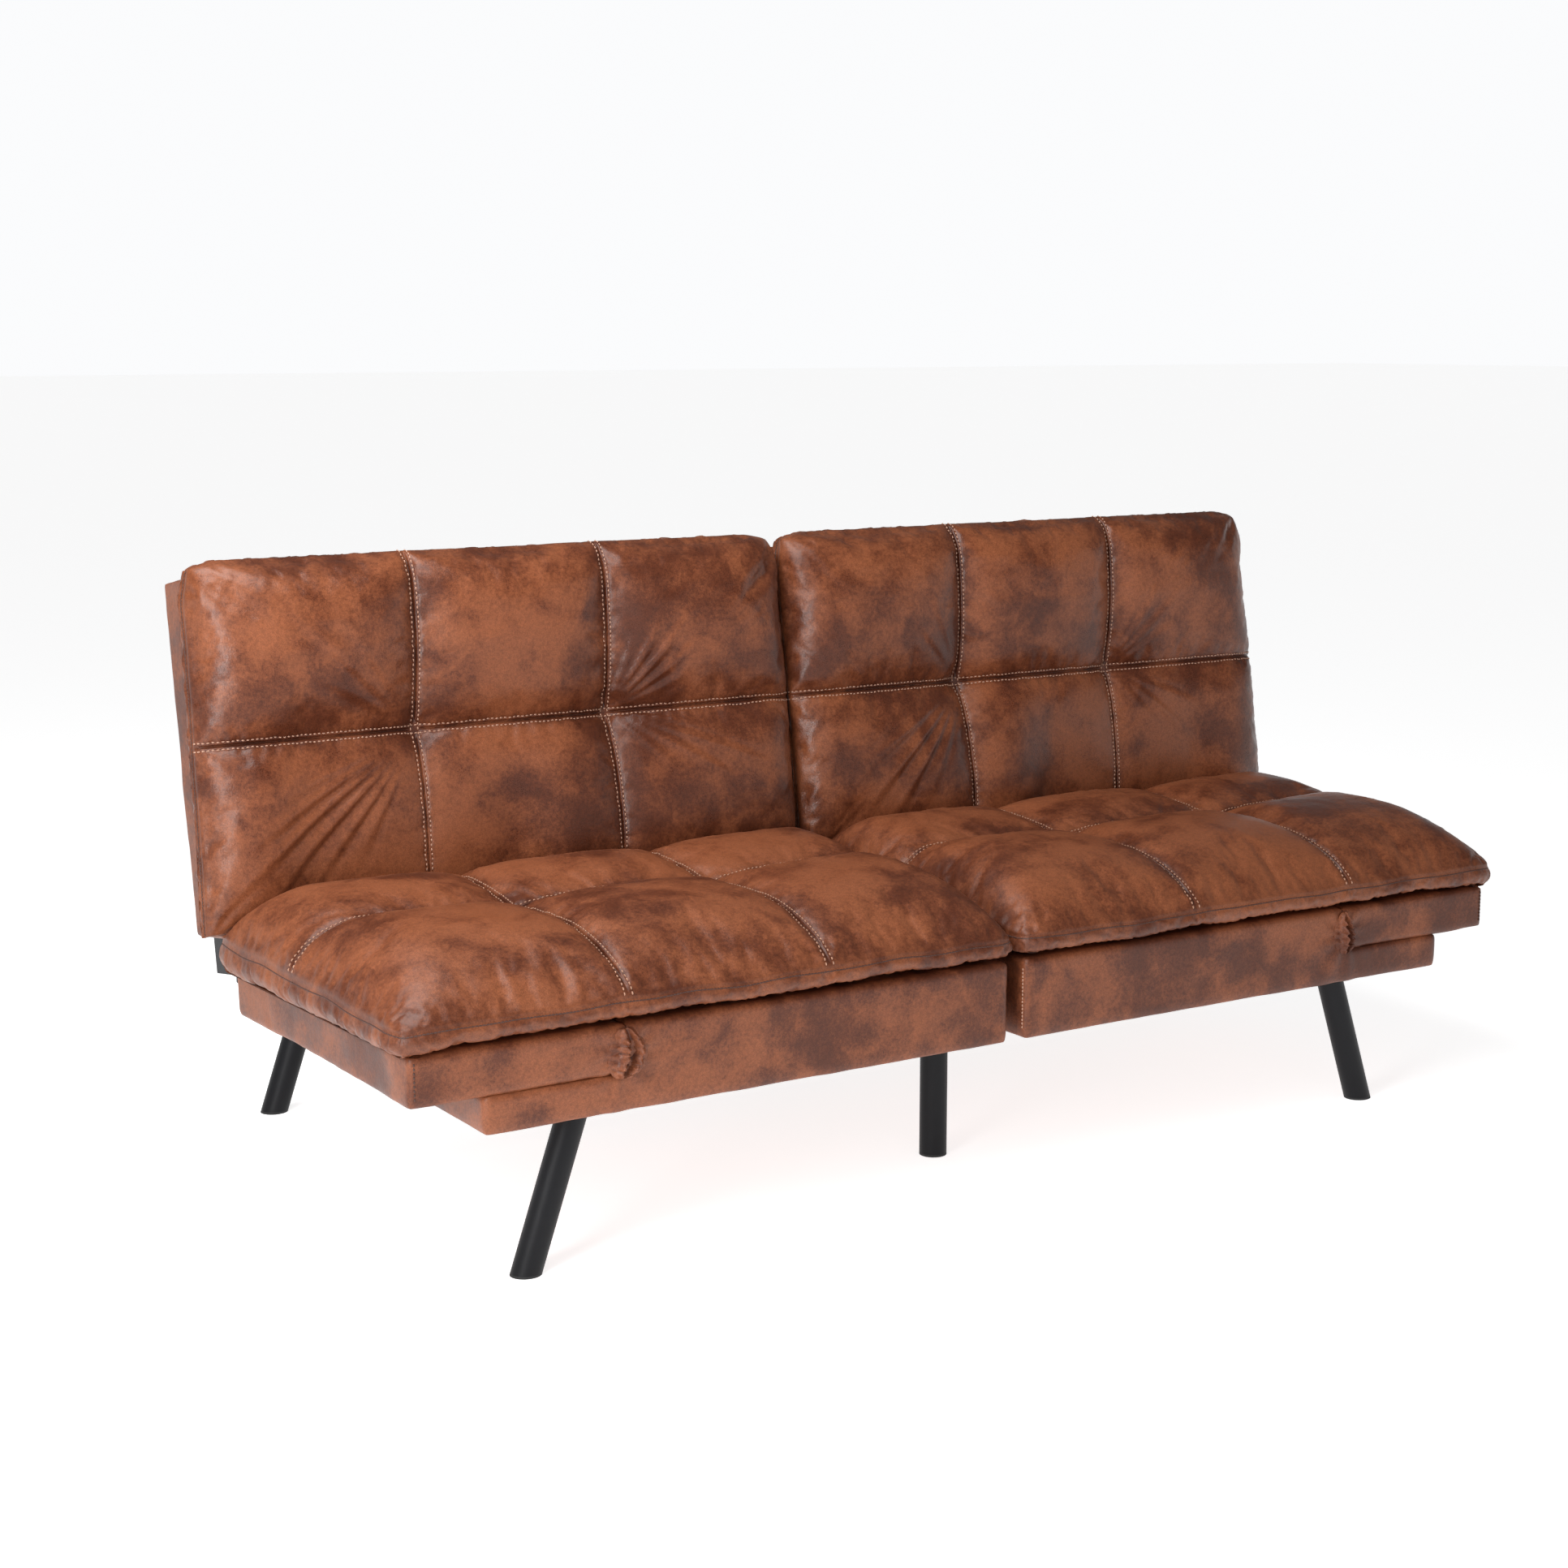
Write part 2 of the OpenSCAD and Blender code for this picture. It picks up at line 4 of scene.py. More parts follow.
import bpy
import numpy as np
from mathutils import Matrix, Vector, noise


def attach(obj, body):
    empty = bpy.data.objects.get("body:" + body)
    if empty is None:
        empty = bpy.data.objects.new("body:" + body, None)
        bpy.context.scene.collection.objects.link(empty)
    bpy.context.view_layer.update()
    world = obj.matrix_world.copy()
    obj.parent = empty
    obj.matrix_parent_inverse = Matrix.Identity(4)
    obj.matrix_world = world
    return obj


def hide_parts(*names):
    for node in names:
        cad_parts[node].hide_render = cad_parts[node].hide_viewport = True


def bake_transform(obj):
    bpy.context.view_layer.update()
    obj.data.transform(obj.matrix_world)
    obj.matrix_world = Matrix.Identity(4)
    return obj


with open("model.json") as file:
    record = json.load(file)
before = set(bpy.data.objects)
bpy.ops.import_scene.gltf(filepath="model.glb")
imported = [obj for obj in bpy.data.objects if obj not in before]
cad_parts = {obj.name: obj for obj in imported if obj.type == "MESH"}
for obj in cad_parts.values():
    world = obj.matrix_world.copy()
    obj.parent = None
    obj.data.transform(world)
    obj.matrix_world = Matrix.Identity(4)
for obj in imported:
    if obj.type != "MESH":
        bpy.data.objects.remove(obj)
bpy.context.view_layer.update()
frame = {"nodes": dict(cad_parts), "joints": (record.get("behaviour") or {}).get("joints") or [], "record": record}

MM = 0.001
SIDES = {"left": -1.0, "right": 1.0}
JOINTS = {joint["name"]: joint for joint in frame["joints"]}


# ---------------- places

class Axes:
    """Three directions to build in: across the sofa, along a pad, and out of its face."""

    def __init__(self, along, out):
        self.rows = np.array([(1.0, 0.0, 0.0), along, out])

    def to_row(self, points):
        return np.asarray(points, float) @ self.rows

    def extent(self, node):
        """Lowest and highest values of a CAD node along the three directions."""
        places = np.array([v.co for v in frame["nodes"][node].data.vertices]) @ self.rows.T
        return places.min(0), places.max(0)


LEAN = math.radians(90.0 - JOINTS["backrest_left_recline"]["range_deg"][1])
FLAT = Axes((0.0, 1.0, 0.0), (0.0, 0.0, 1.0))
LEANT = Axes((0.0, math.sin(LEAN), math.cos(LEAN)), (0.0, -math.cos(LEAN), math.sin(LEAN)))
HINGE_X = JOINTS["armrest_right_fold"]["pos_m"][0]
HINGE_Z = JOINTS["armrest_right_fold"]["pos_m"][2]
ARMREST_REAR = FLAT.extent("armrest_cover_left")[1][1] + 0.008


def add_object(name, data):
    """A new object in the scene."""
    piece = bpy.data.objects.new(name, data)
    bpy.context.scene.collection.objects.link(piece)
    return piece


def add_mesh(name, points, faces):
    """A new mesh object in the scene."""
    mesh = bpy.data.meshes.new(name)
    mesh.from_pydata(points, [], faces)
    return add_object(name, mesh)


# ---------------- materials

def new_material(name, attribute=None):
    """A material and its nodes, placed by a mesh attribute or else by object coordinates."""
    material = bpy.data.materials.new(name)
    material.use_nodes = True
    return material, Nodes(material.node_tree, attribute)


def shaded(colour, share=1.0):
    """A colour made darker or lighter, as the four numbers that a node takes."""
    return tuple(c * share for c in colour) + (1.0,)


class Nodes:
    """Short calls for the few kinds of node the materials use."""

    def __init__(self, tree, attribute=None):
        self.tree = tree
        if attribute:
            self.place = self.attribute(attribute).outputs["Vector"]
        else:
            self.place = self.new("TexCoord").outputs["Object"]

    def new(self, kind, inputs=None, **settings):
        """A node with its settings; each input is another node's output or a plain value."""
        node = self.tree.nodes.new("ShaderNode" + kind)
        for name, value in settings.items():
            setattr(node, name, value)
        self.fill(node, inputs or {})
        return node

    def fill(self, node, inputs):
        for name, value in inputs.items():
            if isinstance(value, bpy.types.NodeSocket):
                self.tree.links.new(value, node.inputs[name])
            elif value is not None:
                node.inputs[name].default_value = value

    def attribute(self, name):
        return self.new("Attribute", attribute_name=name)

    def noise(self, scale, detail=4.0, rough=0.5, warp=0.0, stretch=None):
        place = self.place
        if stretch is not None:
            place = self.new("Mapping", {"Scale": stretch, "Vector": place}).outputs["Vector"]
        inputs = {"Scale": scale, "Detail": detail, "Roughness": rough, "Distortion": warp,
                  "Vector": place}
        return self.new("TexNoise", inputs).outputs["Fac"]

    def cells(self, scale, feature="SMOOTH_F1"):
        inputs = {"Scale": scale, "Vector": self.place}
        return self.new("TexVoronoi", inputs, feature=feature).outputs["Distance"]

    def ramp(self, value, low, high, to_low=0.0, to_high=1.0):
        inputs = {"Value": value, "From Min": low, "From Max": high, "To Min": to_low, "To Max": to_high}
        return self.new("MapRange", inputs, interpolation_type="SMOOTHSTEP").outputs["Result"]

    def maths(self, operation, one, two):
        return self.new("Math", {0: one, 1: two}, operation=operation).outputs[0]

    def mix(self, share, one, two, blend="MIX"):
        inputs = {"Factor": share, "A": one, "B": two}
        return self.new("Mix", inputs, data_type="RGBA", blend_type=blend).outputs["Result"]

    def bump(self, height, distance, strength=1.0, under=None):
        inputs = {"Strength": strength, "Distance": distance, "Height": height, "Normal": under}
        return self.new("Bump", inputs).outputs["Normal"]

    def paint(self, colour, rough, normal=None, specular=0.5, metallic=0.0):
        """Sets the material's shader and returns it."""
        shader = self.tree.nodes["Principled BSDF"]
        self.fill(shader, {"Base Color": colour, "Roughness": rough, "Normal": normal,
                           "Specular IOR Level": specular, "Metallic": metallic})
        return shader


CARAMEL = (0.238, 0.074, 0.030, 1.0)
SADDLE = (0.132, 0.036, 0.015, 1.0)
UMBER = (0.058, 0.015, 0.007, 1.0)


def leather_material(name, sheen_rough, lift=0.0):
    """Distressed faux leather: caramel with soft dark patches and a fine pebble grain.

    A higher lift makes less of it dark. The points' darkness value keeps seams, folds and hollows dark: partly
    darker dye, partly painted shade.
    """
    material, n = new_material(name, "rest")
    broad = n.noise(6.5, 3.0, 0.50, 0.35)
    patches = n.noise(19.0, 5.0, 0.54, 0.5)
    flecks = n.noise(190.0, 5.0, 0.72)
    speckle = n.noise(640.0, 3.0, 0.7)
    tone = n.maths("ADD", n.maths("MULTIPLY", broad, 0.55), n.maths("MULTIPLY", patches, 0.45))
    worn = n.maths("ADD", tone, n.ramp(flecks, 0.30, 0.70, -0.028, 0.028))
    base = n.mix(n.ramp(worn, 0.38 - lift, 0.62 - lift), SADDLE, CARAMEL)
    base = n.mix(n.ramp(worn, 0.34 - lift, 0.54 - lift, 0.64, 0.0), base, UMBER)
    # Darker dye plus painted shade, read from the points and mixed towards umber.
    dye_and_shade = n.attribute("dye_and_shade").outputs["Fac"]
    dye_and_shade_share = n.maths("MULTIPLY", dye_and_shade, n.ramp(patches, 0.40, 0.62, 0.80, 0.25))
    base = n.mix(dye_and_shade_share, base, UMBER)
    grain = n.maths("MULTIPLY", n.ramp(speckle, 0.36, 0.64, 0.80, 1.12),
                    n.ramp(flecks, 0.32, 0.60, 0.84, 1.04))
    shade = n.new("CombineColor", {0: grain, 1: grain, 2: grain})
    base = n.mix(1.0, base, shade.outputs["Color"], "MULTIPLY")
    rough = n.maths("ADD", n.ramp(patches, 0.3, 0.7, sheen_rough - 0.04, sheen_rough + 0.06),
                    n.ramp(speckle, 0.3, 0.7, -0.03, 0.04))
    pebble = n.cells(720.0)
    creases = n.cells(170.0, "DISTANCE_TO_EDGE")
    normal = n.bump(pebble, 0.00022, 0.55)
    normal = n.bump(n.ramp(creases, 0.0, 0.10), 0.00016, 0.3, normal)
    normal = n.bump(n.noise(45.0, 3.0, 0.5), 0.0016, 0.3, normal)
    n.paint(base, rough, normal, specular=0.32)
    return material


def metal_material(name, colour, rough, metallic, grain):
    """Powder-coated or plated metal with a fine uneven skin."""
    material, n = new_material(name)
    mottle = n.noise(60.0, 3.0)
    fine = n.noise(grain, 2.0)
    n.paint(n.mix(mottle, shaded(colour, 0.82), shaded(colour, 1.15)),
            n.ramp(fine, 0.3, 0.7, rough - 0.05, rough + 0.06), n.bump(fine, 0.00012, 0.5),
            specular=0.22, metallic=metallic)
    return material


def wood_material(name, light, dark, ply):
    """Planed pine, or birch plywood with its layers."""
    material, n = new_material(name)
    grain = n.noise(30.0, 5.0, 0.6, 1.2, (0.35, 4.0, 4.0) if not ply else (1.0, 1.0, 9.0))
    n.paint(n.mix(n.ramp(grain, 0.35, 0.65), shaded(light), shaded(dark)),
            n.ramp(grain, 0.3, 0.7, 0.55, 0.72), n.bump(grain, 0.0004, 0.5))
    return material


def cloth_material(name, colour):
    """Black spun-bonded dust cloth with its pressed dimples."""
    material, n = new_material(name)
    fibres = n.noise(420.0, 4.0, 0.7)
    dimples = n.cells(380.0, "F1")
    n.paint(n.mix(fibres, shaded(colour, 0.6), shaded(colour)), 0.93, n.bump(dimples, 0.0004, 0.8))
    return material


def rubber_material(name):
    material, n = new_material(name)
    fine = n.noise(500.0, 3.0)
    n.paint(n.mix(fine, (0.012, 0.012, 0.012, 1.0), (0.022, 0.022, 0.022, 1.0)),
            n.ramp(fine, 0.3, 0.7, 0.72, 0.88), n.bump(fine, 0.0002, 0.5))
    return material


def thread_material(name, colour):
    material, n = new_material(name, "rest")
    twist = n.noise(1400.0, 2.0)
    n.paint(n.mix(twist, shaded(colour, 0.6), shaded(colour)), 0.6, n.bump(twist, 0.0002, 0.7))
    return material


# The backs' copy has a lower lift, so more dark patches than the seats' copy: partly the leather's own tone,
# partly painted shade.
BACK_LEATHER = leather_material("back_leather", 0.325, -0.012)
SEAT_LEATHER = leather_material("seat_leather", 0.40, 0.022)
SKIN_LEATHER = leather_material("skin_leather", 0.43, -0.02)
LIGHT_THREAD = thread_material("tan_thread", (0.52, 0.29, 0.20))
SEAT_THREAD = thread_material("brown_tan_thread", (0.45, 0.235, 0.15))
DARK_THREAD = thread_material("brown_thread", (0.075, 0.028, 0.018))
CAD_MATERIALS = {
    "black_steel": metal_material("black_powder_coat", (0.005, 0.005, 0.0065), 0.46, 0.0, 900.0),
    "zinc_steel": metal_material("zinc_plate", (0.52, 0.52, 0.50), 0.34, 1.0, 300.0),
    "pine": wood_material("pine", (0.60, 0.42, 0.23), (0.42, 0.26, 0.12), False),
    "plywood": wood_material("plywood", (0.62, 0.46, 0.28), (0.48, 0.33, 0.18), True),
    "dust_cloth": cloth_material("dust_cloth", (0.022, 0.022, 0.024)),
    "black_rubber": rubber_material("black_rubber"),
    "faux_leather": SKIN_LEATHER,
    "leather_pad": SEAT_LEATHER,
}


def dress_cad_nodes():
    """Gives every CAD node the material of its slot."""
    for part in frame["record"]["subparts"]:
        node = frame["nodes"][part["node"]]
        node.data.materials.clear()
        node.data.materials.append(CAD_MATERIALS[part["material_slot"]])


# ---------------- meshes

def finish_mesh(name, points, faces, material):
    """A new dressed object made of points and faces."""
    piece = add_mesh(name, [tuple(p) for p in points], faces)
    piece.data.validate()
    return dress_piece(piece, material)


def dress_piece(piece, material):
    """Material, smooth shading, slot and the "rest" places that its textures follow."""
    mesh = piece.data
    mesh.materials.clear()
    mesh.materials.append(material)
    mesh.polygons.foreach_set("use_smooth", np.ones(len(mesh.polygons), bool))
    places = np.empty(len(mesh.vertices) * 3, np.float32)
    mesh.vertices.foreach_get("co", places)
    mesh.attributes.new("rest", "FLOAT_VECTOR", "POINT").data.foreach_set("vector", places)
    mesh.update()
    return piece


STITCH_LENGTH = 4.3 * MM
STITCH_RADIUS = 1.05 * MM
STITCH_SIDES = 6
# Along a stitch: place in stitch lengths, girth in radii, rise above the leather in radii.
STITCH_RINGS = ((-0.5, 0.35, -0.5), (-0.3, 0.9, 0.2), (0.0, 1.0, 0.5), (0.3, 0.9, 0.2), (0.5, 0.35, -0.5))


def stitch_faces(first):
    """Sides and ends of one stitch whose points start at index first."""
    faces = []
    for ring in range(len(STITCH_RINGS) - 1):
        low = first + ring * STITCH_SIDES
        for k in range(STITCH_SIDES):
            beside = (k + 1) % STITCH_SIDES
            faces.append((low + k, low + beside, low + STITCH_SIDES + beside, low + STITCH_SIDES + k))
    last = first + (len(STITCH_RINGS) - 1) * STITCH_SIDES
    faces.append(tuple(first + k for k in reversed(range(STITCH_SIDES))))
    faces.append(tuple(last + k for k in range(STITCH_SIDES)))
    return faces


def stitches(name, places, tangents, normals, material):
    """Small sewn stitches, each a slim lozenge whose ends dive into the leather."""
    angles = np.arange(STITCH_SIDES) * 2.0 * math.pi / STITCH_SIDES
    points, faces = [], []
    across = np.cross(normals, tangents)
    for place, along, side, up in zip(places, tangents, across, normals):
        faces += stitch_faces(len(points))
        for reach, girth, rise in STITCH_RINGS:
            centre = place + along * reach * STITCH_LENGTH + up * rise * STITCH_RADIUS
            for angle in angles:
                outward = math.cos(angle) * side + math.sin(angle) * up
                points.append(centre + girth * STITCH_RADIUS * outward)
    return finish_mesh(name, points, faces, material)


def write_dye_and_shade(piece, values):
    """Stores how dark the leather is painted at every point, 0 to 1: darker dye at seams and painted shade."""
    piece.data.attributes.new("dye_and_shade", "FLOAT", "POINT").data.foreach_set("value", values)


def unit(vectors):
    return vectors / np.maximum(np.linalg.norm(vectors, axis=-1, keepdims=True), 1e-9)


def run_along(points):
    """Distance along a polyline at each of its points."""
    return np.concatenate([[0.0], np.cumsum(np.linalg.norm(np.diff(points, axis=0), axis=1))])


def read_along(wanted, run, values):
    """Values along a polyline, read at the wanted distances."""
    return np.stack([np.interp(wanted, run, values[:, k]) for k in range(3)], 1)


def spread_along(points, pitch):
    """Evenly spaced places along a polyline."""
    run = run_along(points)
    count = max(2, int(run[-1] / pitch))
    wanted = (np.arange(count) + 0.5) * run[-1] / count
    return read_along(wanted, run, points)


# ---------------- quilted pads

SEAM_HALF = 5.4 * MM      # from a seam to each of its two rows of stitching
SEAM_PITCH = 6.4 * MM
EDGE_PITCH = 4.7 * MM
GRID_STEP = 4.6 * MM
GRID_ROLL = 0.06          # the outer stretch of a pad where grid lines crowd together
JITTER = 0.0004           # keeps a simulated panel from swelling too evenly
BAND_STEP = 5.0 * MM      # size of the simulated band's squares along its length
# Painted shade over the whole side band, which lies under the pad's rolled edge.
BAND_SHADE = 0.30
# Down the side band: reach outward in millimetres, share of the band's drop.
BAND_PROFILE = ((0.0, 0.0), (0.6, 0.08), (1.4, 0.17), (2.6, 0.29), (3.4, 0.42), (3.6, 0.55),
                (2.8, 0.68), (1.0, 0.80), (-2.0, 0.90), (-7.0, 0.97), (-14.0, 1.0), (-24.0, 1.0))
SEAM_STEPS = np.array([0.9, 1.8, 2.8, 4.1, 5.4, 6.6, 8.2, 10.6, 14.0]) * MM


def grid_lines(low, high, seams, step, roll):
    """Positions from low to high, close together beside each seam and over the rolled ends."""
    turn = np.linspace(0.0, math.pi / 2.0, 15)
    ends = roll * (1.0 - np.cos(turn))
    beside_seams = [np.concatenate([s - SEAM_STEPS[::-1], [s], s + SEAM_STEPS]) for s in seams]
    fixed = np.unique(np.round(np.concatenate([low + ends, high - ends[::-1]] + beside_seams), 6))
    lines = [fixed[0]]
    for value in fixed[1:]:
        pieces = max(1, int(math.ceil((value - lines[-1]) / step)))
        lines.extend(np.linspace(lines[-1], value, pieces + 1)[1:])
    return np.array(lines)


def even_lines(low, high, seams, step):
    """Nearly even positions from low to high that land exactly on each seam."""
    lines = [low]
    for value in sorted(seams) + [high]:
        pieces = max(1, int(round((value - lines[-1]) / step)))
        lines.extend(np.linspace(lines[-1], value, pieces + 1)[1:])
    return np.array(lines)


def spline_weights(fine, coarse):
    """A matrix that carries values at coarse positions to fine ones with a smooth cubic."""
    count = len(coarse)
    place = np.interp(fine, coarse, np.arange(count))
    start = np.minimum(place.astype(int), count - 2)
    t = place - start
    shares = (((-t + 2.0) * t - 1.0) * t / 2.0, ((3.0 * t - 5.0) * t * t + 2.0) / 2.0,
              ((-3.0 * t + 4.0) * t + 1.0) * t / 2.0, (t - 1.0) * t * t / 2.0)
    weights = np.zeros((len(fine), count))
    for offset, share in zip((-1, 0, 1, 2), shares):
        np.add.at(weights, (np.arange(len(fine)), np.clip(start + offset, 0, count - 1)), share)
    return weights


def grid_faces(na, nb):
    """Squares between the points of an na by nb grid."""
    index = np.arange(na * nb).reshape(na, nb)
    corners = (index[:-1, :-1], index[1:, :-1], index[1:, 1:], index[:-1, 1:])
    return np.stack([corner.ravel() for corner in corners], 1).tolist()


def blown_up(points, pins, cloth):
    """Cloth simulation of a sewn panel: padding pushes it out while its seams stay put."""
    na, nb = pins.shape
    panel = add_mesh("panel", points.reshape(-1, 3).tolist(), grid_faces(na, nb))
    held = panel.vertex_groups.new(name="seams")
    held.add(np.flatnonzero(pins.ravel()).tolist(), 1.0, "REPLACE")
    modifier = panel.modifiers.new("cloth", "CLOTH")
    settings = modifier.settings
    settings.vertex_group_mass = "seams"
    settings.quality = 6
    settings.tension_stiffness = settings.compression_stiffness = cloth["stiff"]
    settings.shear_stiffness = 0.4 * cloth["stiff"]
    settings.bending_stiffness = cloth["bend"]
    settings.use_pressure = True
    settings.uniform_pressure_force = cloth["pressure"]
    settings.shrink_min = -cloth["excess"]
    settings.effector_weights.gravity = 0.0
    modifier.collision_settings.use_collision = False
    frames = 20
    modifier.point_cache.frame_start, modifier.point_cache.frame_end = 1, frames
    for number in range(1, frames + 1):
        bpy.context.scene.frame_set(number)
    settled = panel.evaluated_get(bpy.context.evaluated_depsgraph_get()).to_mesh()
    places = np.empty(points.size)
    settled.vertices.foreach_get("co", places)
    bpy.data.objects.remove(panel)
    bpy.context.scene.frame_set(1)
    moved = places.reshape(points.shape) - points
    length = np.linalg.norm(moved, axis=-1, keepdims=True)
    return moved * np.minimum(1.0, cloth["cap"] / np.maximum(length, 1e-9))


def rolled(distance, roll, fullness):
    """Height share of a pad's edge, 0 at the seam to 1 past the roll; boxy when fullness is low."""
    return np.sin(0.5 * math.pi * np.clip(distance / roll, 0.0, 1.0)) ** fullness


def wrinkle(a, b, height, start, angle, length, width, bend=0.0):
    """A soft fold: a ridge with a crease beside it, fading at both ends."""
    run = (a - start[0]) * math.cos(angle) + (b - start[1]) * math.sin(angle)
    off = -(a - start[0]) * math.sin(angle) + (b - start[1]) * math.cos(angle)
    off = off - bend * run * run
    share = np.clip(run / length, 0.0, 1.0)
    fade = np.sin(math.pi * share ** 0.6) ** 1.2
    spread = width * (0.5 + 0.9 * share)
    ridge = np.exp(-(off / spread) ** 2) - 0.8 * np.exp(-((off - 1.7 * spread) / spread) ** 2)
    return height * fade * ridge


class Quilt:
    """A pad's sewn top panel with a boxed side band, as a grid that the stitches also follow.

    a runs across the sofa, b along the pad, and heights are from the perimeter seam. A shape:
      rolls, fullness       lengths of the four rounded edges, and how boxy (low) they are
      crown, valley, dimple greatest height, share lost along a seam, dent at each crossing
      bulge                 how far the panel swells out past its perimeter seam
      corner                reach, pull at the low b corners, pull at the high b corners
      flare                 spread of the outer end, growing from one b to another
      rise                  how much higher the perimeter seam lies at high b than at low b
      band, side_extra      depth of the side band, and what is added past side_from
      room, folds, cloth    the clearance it keeps, its drawn folds, its simulation
    """

    def __init__(self, axes, low, high, seams_a, seam_b, shape, seed):
        self.axes, self.low, self.high = axes, np.array(low), np.array(high)
        self.seams_a, self.seam_b, self.shape = seams_a, seam_b, shape
        self.random = np.random.default_rng(seed)
        self.lines_a = grid_lines(low[0], high[0], seams_a, GRID_STEP, GRID_ROLL)
        self.lines_b = grid_lines(low[1], high[1], [seam_b], GRID_STEP, GRID_ROLL)
        self.a, self.b = np.meshgrid(self.lines_a, self.lines_b, indexing="ij")
        self.grid = self.make_grid()

    def edges(self, a, b):
        """Distance in from each of the four sides, with the length of that side's roll."""
        inward = (a - self.low[0], self.high[0] - a, b - self.low[1], self.high[1] - b)
        return list(zip(inward, self.shape["rolls"]))

    def dome(self, a, b):
        """0 on the perimeter seam, 1 past the rolls."""
        fullness = self.shape["fullness"]
        return np.prod([rolled(inward, roll, fullness) for inward, roll in self.edges(a, b)], 0)

    def heights(self, a, b):
        """How far the top panel stands out of the pad's perimeter seam before it is blown up."""
        shape, dome = self.shape, self.dome(a, b)
        keep = np.ones_like(a)
        for seam in self.seams_a:
            keep *= 1.0 - np.exp(-(np.abs(a - seam) / shape["valley_w"]) ** 1.1)
        keep *= 1.0 - np.exp(-(np.abs(b - self.seam_b) / shape["valley_w"]) ** 1.1)
        out = shape["crown"] * dome * (1.0 - shape["valley"] * (1.0 - keep))
        for seam in self.seams_a:
            reach = np.hypot(a - seam, b - self.seam_b)
            out -= shape["dimple"] * dome * np.exp(-reach / shape["dimple_r"])
        return np.maximum(out, 0.0)

    def start_points(self, a, b):
        """The panel before it is blown up, bulging a little past its perimeter seam."""
        left, right, front, rear = (
            self.shape["bulge"] * np.sin(math.pi * rolled(inward, roll, self.shape["fullness"]))
            for inward, roll in self.edges(a, b))
        return np.stack([a - left + right, b - front + rear, self.heights(a, b)], -1)

    def blown(self):
        """Movement of every fine grid point, carried over from the simulated panel."""
        step = self.shape["cloth"]["step"]
        coarse_a = even_lines(self.low[0], self.high[0], self.seams_a, step)
        coarse_b = even_lines(self.low[1], self.high[1], [self.seam_b], step)
        a, b = np.meshgrid(coarse_a, coarse_b, indexing="ij")
        pins = np.isclose(b, self.low[1]) | np.isclose(b, self.high[1]) | np.isclose(b, self.seam_b)
        for value in [self.low[0], self.high[0]] + list(self.seams_a):
            pins |= np.isclose(a, value)
        start = self.start_points(a, b)
        start[..., 2] += JITTER * self.random.standard_normal(a.shape) * ~pins
        moved = blown_up(start, pins, self.shape["cloth"])
        across = spline_weights(self.lines_a, coarse_a)
        along = spline_weights(self.lines_b, coarse_b)
        return np.einsum("ia,abk,jb->ijk", across, moved, along)

    def seam_relief(self, distance, dome):
        """A sewn seam: a groove, a low lip on each side and the dent of a stitched line."""
        groove = -3.2 * MM * np.exp(-(distance / (1.8 * MM)) ** 2)
        lips = 0.8 * MM * np.exp(-((distance - 2.9 * MM) / (1.2 * MM)) ** 2)
        dents = -0.9 * MM * np.exp(-((distance - SEAM_HALF) / (1.4 * MM)) ** 2)
        return (groove + lips + dents) * np.minimum(1.0, dome * 1.5)

    def make_grid(self):
        """The finished top panel: blown up, folded, sewn and fitted to its perimeter seam."""
        a, b = self.a, self.b
        dome = self.dome(a, b)
        grid = self.start_points(a, b) + self.blown()
        grid[..., 2] = self.shape["room"](a, b, grid[..., 2])
        for height, start, angle, length, width, bend in self.shape["folds"]:
            grid[..., 2] += wrinkle(a, b, height, start, angle, length, width, bend) * np.sqrt(dome)
        for seam in self.seams_a:
            grid[..., 2] += self.seam_relief(np.abs(a - seam), dome)
        grid[..., 2] += self.seam_relief(np.abs(b - self.seam_b), dome)
        grid[..., 2] = np.maximum(grid[..., 2], 0.0) + self.low[2] + self.seam_rise(b)
        grid[..., 2] += self.sag(a, b)
        grid[..., 0] += self.flare(a, b)
        grid[..., 0], grid[..., 1] = self.round_corners(grid[..., 0], grid[..., 1])
        return grid

    def flare(self, a, b):
        """The outer end of the pad spreads a little towards one edge."""
        spread, from_b, to_b = self.shape["flare"]
        from_a, over_a = 0.66, 0.22
        share = np.clip((b - from_b) / (to_b - from_b), 0.0, 1.0)
        return np.sign(a) * spread * np.clip((np.abs(a) - from_a) / over_a, 0.0, 1.0) * share

    def seam_rise(self, b):
        """How much higher the perimeter seam lies here than at low b."""
        share = (b - self.low[1]) / (self.high[1] - self.low[1])
        return self.shape["rise"] * share

    def sag(self, a, b):
        """The perimeter seam never lies quite straight."""
        reach, depth, pitch = 0.02, 3.5 * MM, 13.0
        near = np.exp(-np.min([inward for inward, _ in self.edges(a, b)], 0) / reach)
        felt = near > 0.02
        wave = np.zeros_like(a)
        wave[felt] = [noise.noise(Vector((pitch * x, pitch * y, 1.0))) for x, y in zip(a[felt], b[felt])]
        return depth * near * wave

    def round_corners(self, a, b):
        """Pulls the four corners in, so that each is rounded seen from above."""
        reach, low_pull, high_pull = self.shape["corner"]
        for a_edge, a_way in ((self.low[0], 1.0), (self.high[0], -1.0)):
            for b_edge, b_way, pull in ((self.low[1], 1.0, low_pull), (self.high[1], -1.0, high_pull)):
                near = (np.clip(1.0 - np.abs(self.a - a_edge) / reach, 0.0, 1.0)
                        * np.clip(1.0 - np.abs(self.b - b_edge) / reach, 0.0, 1.0)) ** 1.5
                a = a + a_way * pull * near
                b = b + b_way * pull * near
        return a, b

